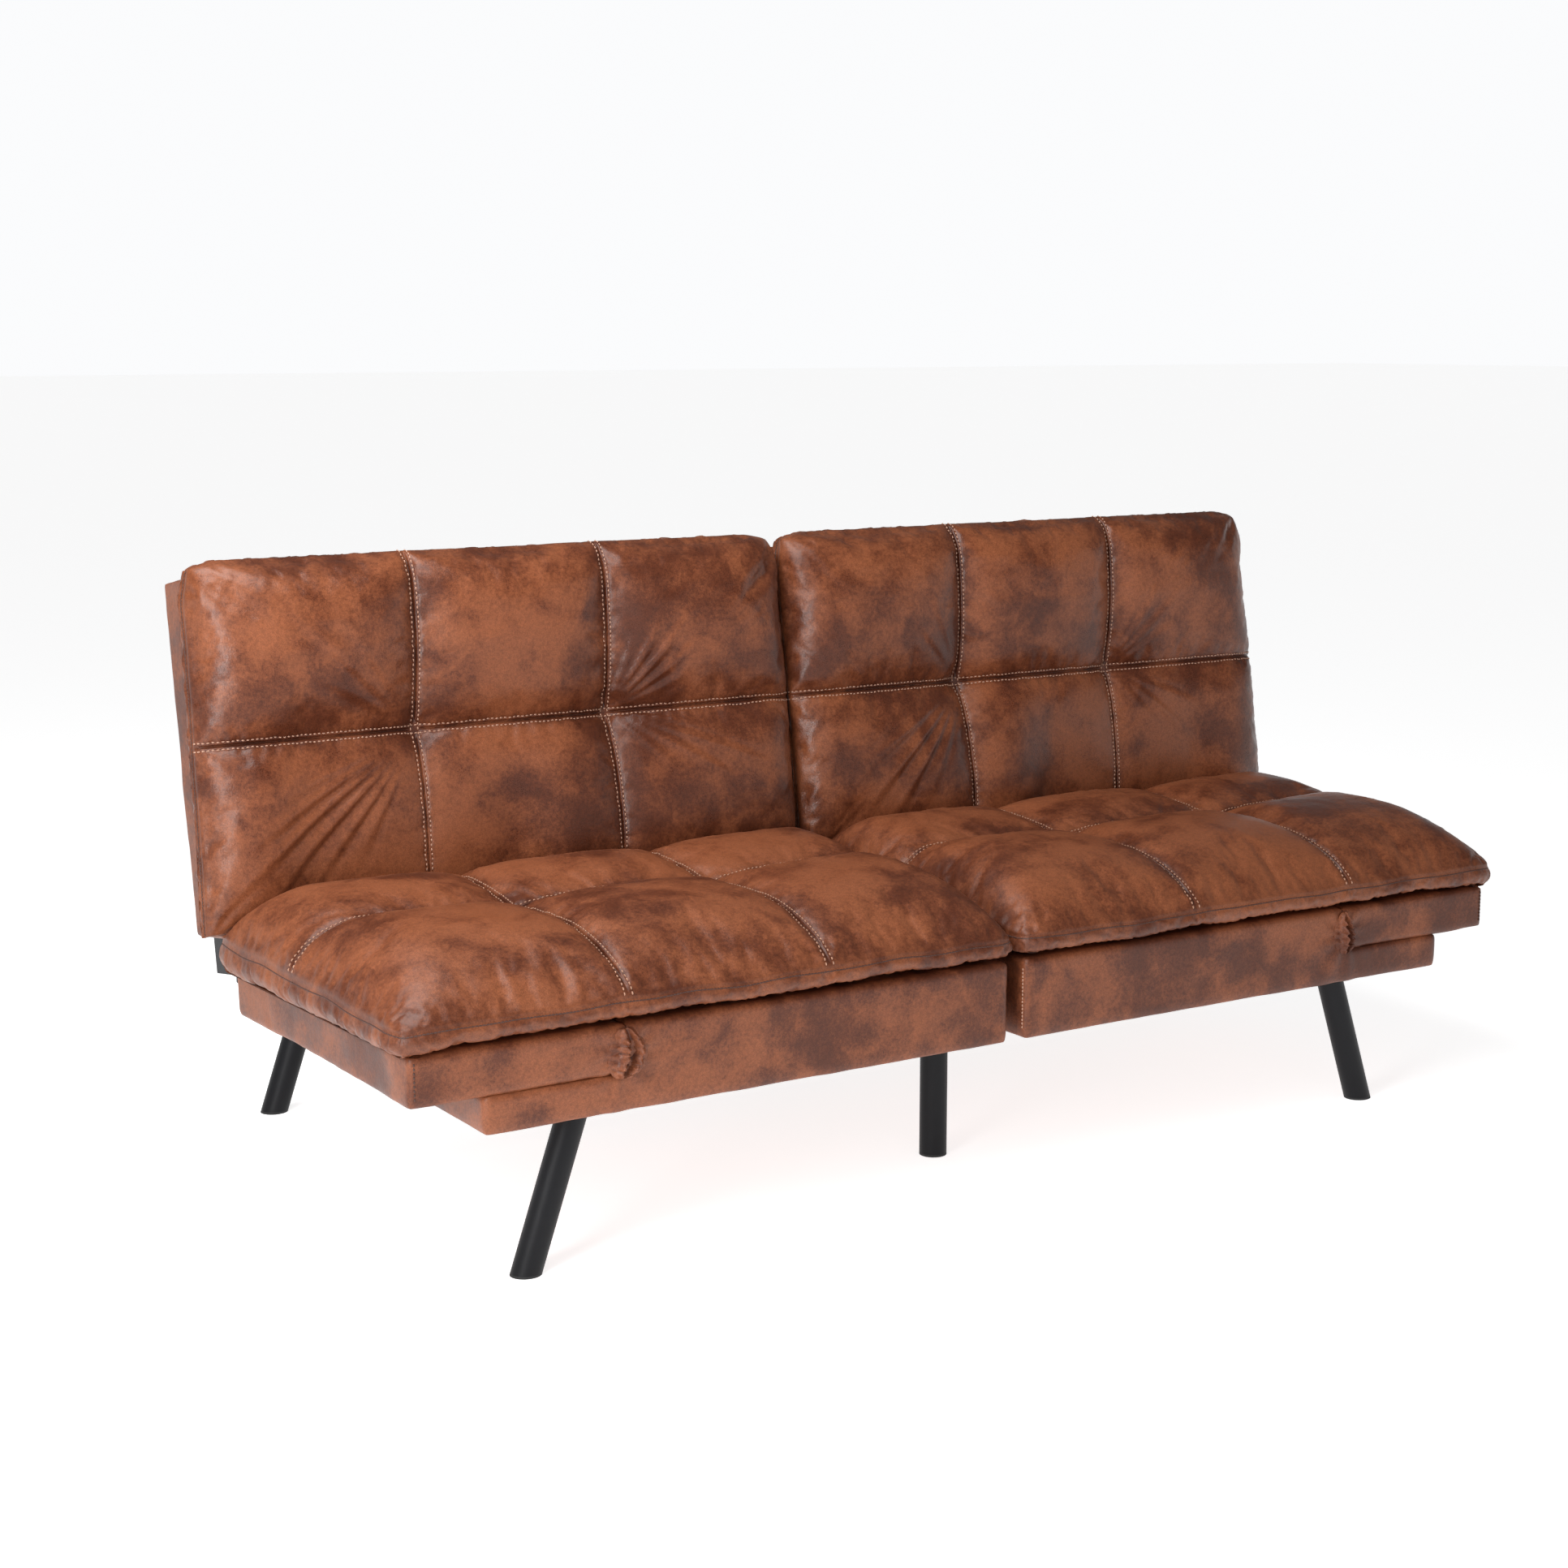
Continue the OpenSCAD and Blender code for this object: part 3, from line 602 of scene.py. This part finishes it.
    def rim(self):
        """Grid indices once round the perimeter, and the outward direction at each."""
        na, nb = len(self.lines_a), len(self.lines_b)
        loop = [(i, 0) for i in range(na)] + [(na - 1, j) for j in range(1, nb)]
        loop += [(i, nb - 1) for i in range(na - 2, -1, -1)] + [(0, j) for j in range(nb - 2, 0, -1)]
        ways = [((i == na - 1) * 1.0 - (i == 0), (j == nb - 1) * 1.0 - (j == 0), 0.0) for i, j in loop]
        return loop, np.array(ways)

    def band_rows(self, loop, ways):
        """Rows of the side band, from the perimeter seam down and in under the pad."""
        start = np.array([self.grid[i, j] for i, j in loop])
        edge_a = np.array([self.a[i, j] for i, j in loop])
        outer = np.clip((np.abs(edge_a) - self.shape["side_from"]) / 0.1, 0.0, 1.0)
        drop = self.shape["band"] + outer * self.shape["side_extra"]
        drop = drop + np.array([self.seam_rise(self.b[i, j]) for i, j in loop])
        run = run_along(start)
        wave = np.array([noise.noise(Vector((s * 16.0, self.low[0] * 7.0, 3.0))) for s in run])
        rows = []
        for out_mm, share in BAND_PROFILE:
            row = start + ways * (out_mm * MM)
            row[:, 2] -= share * drop + max(0.0, share - 0.4) * 5.0 * MM * wave
            rows.append(row)
        return self.blown_band(np.array(rows), run)

    def blown_band(self, rows, run):
        """The band wrinkles between its topstitched seam, its corner seams and its lower edge."""
        run = np.append(run, run[-1] + np.linalg.norm(rows[0, 0] - rows[0, -1]))
        closed = np.concatenate([rows, rows[:, :1]], 1)
        at = np.linspace(0.0, run[-1], int(run[-1] / BAND_STEP) + 1)
        start = np.stack([[np.interp(at, run, row[:, k]) for k in range(3)] for row in closed])
        start = start.transpose(0, 2, 1)
        pins = np.zeros(start.shape[:2], bool)
        pins[:3] = pins[-2:] = True
        pins[:, 0] = pins[:, -1] = True
        across, along = (self.high - self.low)[:2]
        for corner in (across, across + along, 2.0 * across + along):
            pins[:, np.argmin(np.abs(at / run[-1] - corner / (2.0 * across + 2.0 * along)))] = True
        cloth = dict(self.shape["cloth"], excess=0.055, pressure=5.0, bend=0.1, cap=0.007)
        start[..., 2] += JITTER * self.random.standard_normal(pins.shape) * ~pins
        moved = blown_up(start, pins, cloth)
        for row, shift in zip(closed, moved):
            for k in range(3):
                row[:, k] += np.interp(run, at, shift[:, k])
        return closed[1:, :-1]

    def pieces(self, kind, side, leather, thread):
        """The pad, the stitching beside its seams and the stitching round its edge."""
        return (self.build(f"{kind}_cushion_{side}", leather),
                self.seam_stitches(f"{kind}_seam_stitches_{side}", thread),
                self.band_stitches(f"{kind}_edge_stitches_{side}"))

    def build(self, name, material):
        """The closed pad: top panel, side band and underside."""
        na, nb = len(self.lines_a), len(self.lines_b)
        points = list(self.grid.reshape(-1, 3))
        index = np.arange(na * nb).reshape(na, nb)
        faces = grid_faces(na, nb)
        loop, ways = self.rim()
        self.band = self.band_rows(loop, ways)
        above = [index[i, j] for i, j in loop]
        count = len(loop)
        for row in self.band:
            first = len(points)
            points.extend(row)
            below = list(range(first, first + count))
            faces += [(above[k], below[k], below[(k + 1) % count], above[(k + 1) % count])
                      for k in range(count)]
            above = below
        faces += self.underside(above, na, nb)
        faces = [tuple(int(v) for v in face) for face in faces]
        piece = finish_mesh(name, self.axes.to_row(points), faces, material)
        # Dye and painted shade for the top panel, then the band's painted shade for every band row.
        dye_and_shade = np.concatenate([self.creases().ravel()] + [np.full(count, BAND_SHADE)] * len(self.band))
        write_dye_and_shade(piece, dye_and_shade)
        return piece

    def creases(self):
        """Darkness of the top panel's points, beside its seams and round its rim: darker dye and painted shade."""
        # Painted shade with darker dye in the seam valleys, and half as strong round the rolled rim.
        near = [np.abs(self.a - seam) for seam in self.seams_a] + [np.abs(self.b - self.seam_b)]
        seams = np.exp(-(np.min(near, 0) / 0.0095) ** 2)
        rim = 0.5 * np.exp(-np.min([inward for inward, _ in self.edges(self.a, self.b)], 0) / 0.012)
        return np.maximum(seams, rim)

    @staticmethod
    def underside(ring, na, nb):
        """Long strips from the front of the pad's underside to its rear."""
        count = len(ring)
        front = ring[:na]
        rear = [ring[na + nb - 2 + k] for k in range(na)][::-1]
        faces = [(front[k + 1], front[k], rear[k], rear[k + 1]) for k in range(1, na - 2)]
        low_side = [ring[k % count] for k in range(2 * na + nb - 3, count + 1)]
        high_side = ring[na - 1:na + nb - 1]
        faces.append(([rear[1]] + low_side + [front[1]])[::-1])
        faces.append(([front[na - 2]] + high_side + [rear[na - 2]])[::-1])
        return faces

    def at(self, a, b):
        """Places on the finished top panel."""
        ia = np.interp(a, self.lines_a, np.arange(len(self.lines_a)))
        ib = np.interp(b, self.lines_b, np.arange(len(self.lines_b)))
        i = np.minimum(ia.astype(int), len(self.lines_a) - 2)
        j = np.minimum(ib.astype(int), len(self.lines_b) - 2)
        u, v = (ia - i)[:, None], (ib - j)[:, None]
        g = self.grid
        return ((1 - u) * (1 - v) * g[i, j] + u * (1 - v) * g[i + 1, j]
                + (1 - u) * v * g[i, j + 1] + u * v * g[i + 1, j + 1])

    def stitch_row(self, a, b):
        """Stitch places, directions and outward normals along a line on the top panel."""
        share = 0.5 - 0.5 * np.cos(np.linspace(0.0, math.pi, 600))
        line_a, line_b = a[0] + (a[1] - a[0]) * share, b[0] + (b[1] - b[0]) * share
        path = self.at(line_a, line_b)
        nudge = 1.5 * MM
        step_a = self.at(line_a + nudge, line_b) - self.at(line_a - nudge, line_b)
        step_b = self.at(line_a, line_b + nudge) - self.at(line_a, line_b - nudge)
        normals = unit(np.cross(step_a, step_b))
        run = run_along(path)
        count = int(run[-1] / SEAM_PITCH)
        wanted = (np.arange(count) + 0.5) * run[-1] / count
        places, ups = read_along(wanted, run, path), unit(read_along(wanted, run, normals))
        ahead = unit(np.gradient(places, axis=0))
        ways = unit(ahead - ups * np.sum(ahead * ups, axis=1, keepdims=True))
        return places, ways, ups

    def seam_stitches(self, name, thread):
        """Twin rows of light stitching beside every inner seam."""
        rows = []
        (a0, b0), (a1, b1) = self.low[:2], self.high[:2]
        end = 0.8 * MM
        for seam in self.seams_a:
            for side in (-SEAM_HALF, SEAM_HALF):
                rows.append(self.stitch_row((seam + side, seam + side), (b0 + end, b1 - end)))
        for side in (-SEAM_HALF, SEAM_HALF):
            rows.append(self.stitch_row((a0 + end, a1 - end), (self.seam_b + side,) * 2))
        return self.sew(name, rows, thread)

    def band_stitches(self, name):
        """One row of dark stitching on the band, just under the perimeter seam."""
        row = self.band[1]
        loop = np.vstack([row, row[:1]])
        places = spread_along(loop, EDGE_PITCH)
        ahead = unit(np.roll(places, -1, 0) - np.roll(places, 1, 0))
        down = np.array([0.0, 0.0, -1.0])
        inward = unit(np.cross(down, ahead))
        return self.sew(name, [(places, ahead, -inward)], DARK_THREAD)

    def sew(self, name, rows, material):
        """Rows of stitches, turned from the pad's directions to the sofa's."""
        places, ways, ups = (np.vstack([row[k] for row in rows]) for k in range(3))
        turn = self.axes.to_row
        return stitches(name, turn(places), turn(ways), turn(ups), material)


BACK_SEAMS = {"left": (-0.594, -0.302), "right": (0.312, 0.606)}


def fan(start, angles, reach, lengths, heights, width):
    """Folds that spread from a point: degrees, millimetres for height and width."""
    folds = []
    for angle, length, height in zip(angles, lengths, heights):
        turn = math.radians(angle)
        first = (start[0] + reach * math.cos(turn), start[1] + reach * math.sin(turn))
        folds.append((height * MM, first, turn, length, width * MM, 0.25 * math.sin(2.0 * turn)))
    return folds


def back_folds(side, seams, seam_b):
    """Folds drawn out of the quilting's crossings, different on the two backs."""
    outer, inner = (seams[0], seam_b), (seams[1], seam_b)
    if side == "left":
        return (fan(outer, (200, 206, 212, 219, 227, 236), 0.06, (0.18, 0.24, 0.29, 0.28, 0.24, 0.16),
                    (1.8, 3.0, 4.0, 3.8, 3.2, 2.0), 5.0)
                + fan(outer, (128, 140, 152), 0.05, (0.20, 0.24, 0.18), (1.6, 2.0, 1.4), 8.0)
                + fan(inner, (22, 34, 46, 58, 70), 0.018, (0.11, 0.15, 0.17, 0.15, 0.10),
                      (2.8, 4.0, 4.4, 3.4, 2.4), 4.2)
                + fan(inner, (-12, -20, -30, -44), 0.010, (0.18, 0.27, 0.22, 0.12),
                      (2.6, 4.2, 3.8, 2.6), 4.2))
    return (fan(outer, (207, 217, 227, 238), 0.06, (0.20, 0.24, 0.22, 0.16),
                (2.2, 3.4, 3.2, 2.2), 6.0)
            + fan(outer, (120, 138), 0.05, (0.16, 0.18), (1.6, 1.6), 7.0)
            + fan(inner, (28, 42, 56, 68), 0.02, (0.12, 0.15, 0.14, 0.10), (2.2, 3.0, 2.6, 2.0), 4.8)
            + fan(inner, (-24, -38, -52), 0.015, (0.18, 0.20, 0.12), (2.2, 2.8, 2.0), 5.0))


def anywhere(a, b, rise):
    """For a pad that nothing comes near."""
    return rise


def smooth(value, low, high):
    """0 below low, 1 above high, eased between them."""
    share = np.clip((value - low) / (high - low), 0.0, 1.0)
    return share * share * (3.0 - 2.0 * share)


def room_for_armrest(base):
    """Presses a back pad in where the rear end of a raised armrest stands before it."""
    tallest, clear, throughout = 0.068, 3.0 * MM, 0.3

    def pressed(a, b, rise):
        limit = (math.sin(LEAN) * b - ARMREST_REAR - clear) / math.cos(LEAN) - base
        share = np.clip(limit / tallest, 0.0, 1.0)
        beside = smooth(np.abs(a), 0.38, 0.48) * (1.0 - smooth(np.abs(a), 0.74, 0.84))
        return rise * (1.0 - (throughout + (1.0 - throughout) * beside) * (1.0 - share))
    return pressed


MIDDLE_GAP = 0.006              # from the sofa's middle to each pad
SEAT_EDGE_Z = 0.345             # height of a seat cushion's perimeter seam at the front
SEAT_SEAM_Y = -0.150
SEAT_INNER_COLUMN = 0.295
BACK_LOWER_ROW = 0.250
BACK_BAND_FACE = 15.0 * MM      # from the backing box to a back cushion's perimeter seam
CLOTH = {"step": 6.0 * MM, "pressure": 4.0, "stiff": 15.0, "bend": 0.3, "cap": 0.022}


def outer_first(way, outer, inner):
    """Rolls at low a and high a: the outer end is at low a on the left half only."""
    return (outer, inner) if way < 0 else (inner, outer)


def seat_shape(way, front, rear):
    return dict(rolls=outer_first(way, 0.10, 0.075) + (0.165, 0.09), fullness=0.66,
                crown=0.069, valley=0.14, valley_w=0.034, dimple=0.014, dimple_r=0.050,
                bulge=4.0 * MM, corner=(0.045, 9.0 * MM, 5.0 * MM),
                flare=(14.0 * MM, front + 0.10, rear), rise=0.012, band=0.024,
                side_from=0.78, side_extra=0.008, room=anywhere, folds=[],
                cloth=dict(CLOTH, excess=0.026))


def back_shape(side, way, base, bottom, top, seam_b):
    return dict(rolls=outer_first(way, 0.110, 0.060) + (0.11, 0.055), fullness=0.44,
                crown=0.051, valley=0.27, valley_w=0.022, dimple=0.040, dimple_r=0.066,
                bulge=6.0 * MM, corner=(0.055, 0.0, 12.0 * MM),
                flare=(10.0 * MM, top - 0.10, bottom), rise=0.0, band=0.016,
                side_from=2.0, side_extra=0.0, room=room_for_armrest(base),
                folds=back_folds(side, BACK_SEAMS[side], seam_b), cloth=dict(CLOTH, excess=0.024))


def seat_cushions():
    for side, way in SIDES.items():
        low, high = FLAT.extent(f"seat_pad_{side}")
        arm_low, arm_high = FLAT.extent(f"armrest_pad_{side}")
        outer = max(abs(arm_low[0]), abs(arm_high[0])) - 6.0 * MM
        front, rear = low[1] + 11.0 * MM, high[1] + 4.0 * MM
        seams = sorted(way * s for s in (MIDDLE_GAP + SEAT_INNER_COLUMN, HINGE_X))
        ends = sorted((way * MIDDLE_GAP, way * outer))
        quilt = Quilt(FLAT, (ends[0], front, SEAT_EDGE_Z), (ends[1], rear, SEAT_EDGE_Z), seams,
                      SEAT_SEAM_Y, seat_shape(way, front, rear), seed=41 if way < 0 else 43)
        pieces = quilt.pieces("seat", side, SEAT_LEATHER, SEAT_THREAD)
        for piece in pieces:
            blend_over_hinge(piece)
        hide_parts(f"seat_pad_{side}", f"armrest_pad_{side}")


def blend_over_hinge(piece):
    """Bakes the piece's placement into its mesh."""
    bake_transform(piece)


def back_cushions():
    for side, way in SIDES.items():
        low, high = LEANT.extent(f"back_pad_{side}")
        base = LEANT.extent(f"back_cover_{side}")[1][2] + BACK_BAND_FACE
        outer = max(abs(low[0]), abs(high[0])) + 4.0 * MM
        bottom, top = low[1] + 8.0 * MM, high[1] - 3.0 * MM
        ends = sorted((way * MIDDLE_GAP, way * outer))
        seam_b = low[1] + BACK_LOWER_ROW
        shape = back_shape(side, way, base, bottom, top, seam_b)
        quilt = Quilt(LEANT, (ends[0], bottom, base), (ends[1], top, base), BACK_SEAMS[side],
                      seam_b, shape, seed=57 if way < 0 else 59)
        pieces = quilt.pieces("back", side, BACK_LEATHER, LIGHT_THREAD)
        for piece in pieces:
            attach(piece, f"backrest_{side}")
        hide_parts(f"back_pad_{side}")


# ---------------- upholstered boxes

def box_mesh(name, boxes):
    """Closed boxes, each given by its lowest and highest corner, joined in one mesh."""
    points, faces = [], []
    quads = ((0, 1, 3, 2), (4, 6, 7, 5), (0, 4, 5, 1), (2, 3, 7, 6), (0, 2, 6, 4), (1, 5, 7, 3))
    for low, high in boxes:
        first = len(points)
        corners = [(x, y, z) for x in (low[0], high[0]) for y in (low[1], high[1])
                   for z in (low[2], high[2])]
        points += corners
        faces += [tuple(first + k for k in quad) for quad in quads]
    return add_mesh(name, points, faces)


def apply_modifiers(piece):
    """Makes the modifiers' result the piece's own mesh."""
    graph = bpy.context.evaluated_depsgraph_get()
    mesh = bpy.data.meshes.new_from_object(piece.evaluated_get(graph))
    piece.modifiers.clear()
    piece.data = mesh


def puckers(places, front):
    """Small folds in the front faces, drawn towards the stitched slits."""
    middle = HINGE_Z - 0.036
    across, up = np.abs(places[:, 0]) - HINGE_X, places[:, 2] - middle
    reach = np.maximum(0.0, np.hypot(across, up * 0.55) - 0.016)
    fade = np.exp(-reach / 0.022) * (places[:, 1] < front + 6.0 * MM)
    turn = np.arctan2(up, across)
    return 1.7 * MM * fade * (np.sin(9.0 * turn + 60.0 * reach) + 0.3)


def leather_skin(name, boxes):
    """Boxes joined in one skin with soft edges."""
    piece = box_mesh(name, boxes)
    remesh = piece.modifiers.new("skin", "REMESH")
    remesh.mode = "VOXEL"
    remesh.voxel_size = 4.6 * MM
    soften = piece.modifiers.new("soften", "SMOOTH")
    soften.factor = 0.5
    soften.iterations = 5
    apply_modifiers(piece)
    return piece


def vertex_arrays(mesh):
    """Places and normals of every point."""
    count = len(mesh.vertices)
    places, normals = np.empty(count * 3), np.empty(count * 3)
    mesh.vertices.foreach_get("co", places)
    mesh.vertices.foreach_get("normal", normals)
    return places.reshape(-1, 3), normals.reshape(-1, 3)


def upholstered(name, boxes, puff, axes=FLAT, shape=None):
    """Boxes under stretched leather, a little proud of the wood and slightly uneven."""
    proud, deepest = 1.3 * MM, -0.3 * MM
    piece = leather_skin(name, boxes)
    places, normals = vertex_arrays(piece.data)
    lift = np.array([puff * noise.noise(Vector(p) * 11.0) + 0.45 * puff * noise.noise(Vector(p) * 31.0)
                     for p in places])
    if shape is not None:
        places = shape(places)
    lift = proud + np.maximum(lift, deepest)
    if axes is LEANT:
        lift[normals[:, 2] < -0.7] = 0.0      # a backing box's rear stays flat against its brackets
    else:
        lift += puckers(places, places[:, 1].min())
    places = places + normals * lift[:, None]
    piece.data.vertices.foreach_set("co", axes.to_row(places).ravel())
    return dress_piece(piece, SKIN_LEATHER)


def corner_stitches(name, line, outward, material, body):
    """A row of stitches along a line that lies on a face with this outward normal."""
    places = spread_along(np.array(line), EDGE_PITCH)
    ways = unit(np.gradient(places, axis=0))
    piece = stitches(name, places, ways, np.tile(outward, (len(places), 1)), material)
    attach(piece, body)


def wrapped_under(low, high):
    """Turns the leather in under a seat box, a little below the wood and the dust cover."""
    def shaped(places):
        from_edge = np.min([places[:, 0] - low[0], high[0] - places[:, 0],
                            places[:, 1] - low[1], high[1] - places[:, 1]], 0)
        under = (1.0 - smooth(from_edge, 0.012, 0.024)) * (places[:, 2] < low[2] + 4.0 * MM)
        places[:, 2] -= 2.2 * MM * under
        return places
    return shaped


def rounded_rear(low, high, way):
    """Rounds and slants an armrest panel's rear end and spreads its outer corner there."""
    middle, turn, slant = (low[2] + high[2]) / 2.0, 0.013, 7.0 * MM

    def shaped(places):
        past = np.clip((places[:, 1] - high[1] + turn) / turn, 0.0, 1.0)
        places[:, 2] = middle + (places[:, 2] - middle) * np.sqrt(1.0 - 0.6 * past ** 2)
        places[:, 1] -= slant * past * np.clip((high[2] - places[:, 2]) / (high[2] - low[2]), 0.0, 1.0)
        outer = smooth(np.abs(places[:, 0]), 0.80, 0.865)
        places[:, 0] += way * 7.0 * MM * smooth(places[:, 1], high[1] - 0.16, high[1]) * outer
        return places
    return shaped


def seat_boxes():
    for side, way in SIDES.items():
        low, high = FLAT.extent(f"seat_cover_{side}")
        ledge_top = FLAT.extent(f"armrest_cover_{side}")[0][2] - 1.2 * MM
        inner, outer = sorted((abs(low[0]), abs(high[0])))
        wall = HINGE_X - 0.6 * MM
        seat, ledge = sorted((way * inner, way * wall)), sorted((way * (wall - 0.05), way * outer))
        boxes = [((seat[0], low[1], low[2]), (seat[1], high[1], high[2])),
                 ((ledge[0], low[1], low[2]), (ledge[1], high[1], ledge_top))]
        piece = upholstered(f"seat_box_{side}", boxes, 1.2 * MM, shape=wrapped_under(low, high))
        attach(piece, "frame")
        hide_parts(f"seat_cover_{side}")
        x, y = way * (inner - 0.4 * MM), low[1] + 6.0 * MM
        corner_stitches(f"seat_box_stitches_{side}", [(x, y, low[2] + 0.01), (x, y, high[2] - 0.012)],
                        (-way, 0.0, 0.0), LIGHT_THREAD, "frame")


def armrest_boxes():
    for side, way in SIDES.items():
        low, high = FLAT.extent(f"armrest_cover_{side}")
        high[1] = ARMREST_REAR
        piece = upholstered(f"armrest_panel_{side}", [(low, high)], 1.8 * MM,
                            shape=rounded_rear(low, high, way))
        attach(piece, f"armrest_{side}")
        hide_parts(f"armrest_cover_{side}")
        x, y = (high[0] if way > 0 else low[0]) - way * 5.0 * MM, low[1] - 0.8 * MM
        corner_stitches(f"armrest_stitches_{side}", [(x, y, low[2] + 0.008), (x, y, high[2] - 0.006)],
                        (0.0, -1.0, 0.0), DARK_THREAD, f"armrest_{side}")


def back_boxes():
    for side, way in SIDES.items():
        low, high = LEANT.extent(f"back_cover_{side}")
        piece = upholstered(f"back_box_{side}", [(low, high)], 1.8 * MM, LEANT)
        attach(piece, f"backrest_{side}")
        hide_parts(f"back_cover_{side}")


def ruffle_point(s, t, way):
    """Height share s, width share t (-1 to 1): width share, reach outward in mm, and darkness, which is painted
    shade in the sunken mouth and the troughs of the gathers.
    """
    leaf = math.sin(math.pi * s ** 0.8) ** 0.7
    centre = 0.26 * math.sin(3.0 * s + 0.4 * way)
    lip = math.exp(-((abs(t - centre) - 0.42) / 0.20) ** 2)
    mouth = math.exp(-((t - centre) / 0.17) ** 2)
    gather = noise.noise(Vector((s * 26.0, t * 2.2, way * 5.0))) + 0.5 * math.sin(37.0 * s + 4.0 * t)
    edge = 1.0 - abs(t) ** 3
    out = (11.5 * lip - 4.0 * mouth + 3.2 * gather * (0.35 + lip)) * leaf * edge + 2.0 * edge
    side = t * (0.35 + leaf) + 0.10 * math.sin(5.0 * s + way)
    # Painted shade: darkest in the sunken mouth and in the troughs of the gathers.
    dark = min(1.0, 1.1 * mouth * leaf + max(0.0, -0.7 * gather) * edge * leaf)
    return side, out, dark


def gussets():
    for side, way in SIDES.items():
        low, high = FLAT.extent(f"hinge_gusset_{side}")
        rows, columns = 72, 44
        half = (20.0 if way < 0 else 14.0) * MM      # the photo's left ruffle is the wider one
        bottom, height = low[2] - 12.0 * MM, high[2] - low[2] + 14.0 * MM
        points, dye_and_shade = [], []
        for i in range(rows + 1):
            for j in range(columns + 1):
                across, out, dark = ruffle_point(i / rows, 2.0 * j / columns - 1.0, way)
                points.append((way * HINGE_X + half * across, low[1] + (1.2 - out) * MM,
                               bottom + height * i / rows))
                dye_and_shade.append(dark)
        faces = [face[::-1] for face in grid_faces(rows + 1, columns + 1)]
        piece = finish_mesh(f"hinge_ruffle_{side}", points, faces, SKIN_LEATHER)
        write_dye_and_shade(piece, dye_and_shade)
        thick = piece.modifiers.new("thickness", "SOLIDIFY")
        thick.thickness = 1.4 * MM
        thick.offset = -1.0
        apply_modifiers(piece)
        blend_over_hinge(piece)
        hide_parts(f"hinge_gusset_{side}")


# ---------------- studio

def camera():
    """The photo's viewpoint, from the perspective camera fitted to the sofa's straight edges."""
    data = bpy.data.cameras.new("camera")
    data.lens = 60.6
    data.sensor_width = 36.0
    eye = add_object("camera", data)
    eye.location = (-2.0787, -3.1133, 1.1309)
    eye.rotation_euler = (math.radians(90.0 - 9.81), 0.0, math.radians(-32.68))
    bpy.context.scene.camera = eye


def area_light(name, place, aim, size, power):
    data = bpy.data.lights.new(name, "AREA")
    data.shape = "RECTANGLE"
    data.size, data.size_y = size
    data.energy = power
    lamp = add_object(name, data)
    lamp.location = place
    lamp.rotation_euler = (Vector(aim) - Vector(place)).to_track_quat("-Z", "Y").to_euler()


def pale_sky():
    """A white band all round the horizon, so the backdrop is white, under a dimmer ceiling."""
    world = bpy.data.worlds.new("studio")
    world.use_nodes = True
    n = Nodes(world.node_tree)
    parts = n.new("SeparateXYZ", {0: n.place.node.outputs["Generated"]})
    n.fill(n.tree.nodes["Background"], {"Color": (0.985, 0.99, 1.0, 1.0),
                                        "Strength": n.ramp(parts.outputs["Z"], 0.12, 0.24, 0.98, 0.15)})
    bpy.context.scene.world = world


def pale_floor():
    reach = 60.0
    corners = [(-reach, -reach, 0), (reach, -reach, 0), (reach, reach, 0), (-reach, reach, 0)]
    floor = add_mesh("floor", corners, [(0, 1, 2, 3)])
    material, n = new_material("pale_floor")
    shader = n.paint((0.86, 0.86, 0.86, 1.0), 0.9, specular=0.1)
    shader.inputs["Emission Color"].default_value = (1.0, 1.0, 1.0, 1.0)
    shader.inputs["Emission Strength"].default_value = 0.78
    floor.data.materials.append(material)


def studio():
    pale_floor()
    pale_sky()
    area_light("left_softbox", (-2.45, -1.4, 1.25), (-0.4, 0.1, 0.55), (0.8, 1.7), 45.0)
    area_light("top_softbox", (-1.1, -0.4, 2.4), (-0.3, -0.2, 0.4), (2.0, 1.1), 54.0)
    area_light("front_softbox", (-1.4, -4.0, 2.2), (-0.1, 0.0, 0.5), (2.0, 1.4), 9.0)
    bpy.context.scene.view_settings.view_transform = "Standard"


dress_cad_nodes()
seat_boxes()
armrest_boxes()
back_boxes()
seat_cushions()
back_cushions()
gussets()
studio()
camera()

bpy.context.view_layer.update()
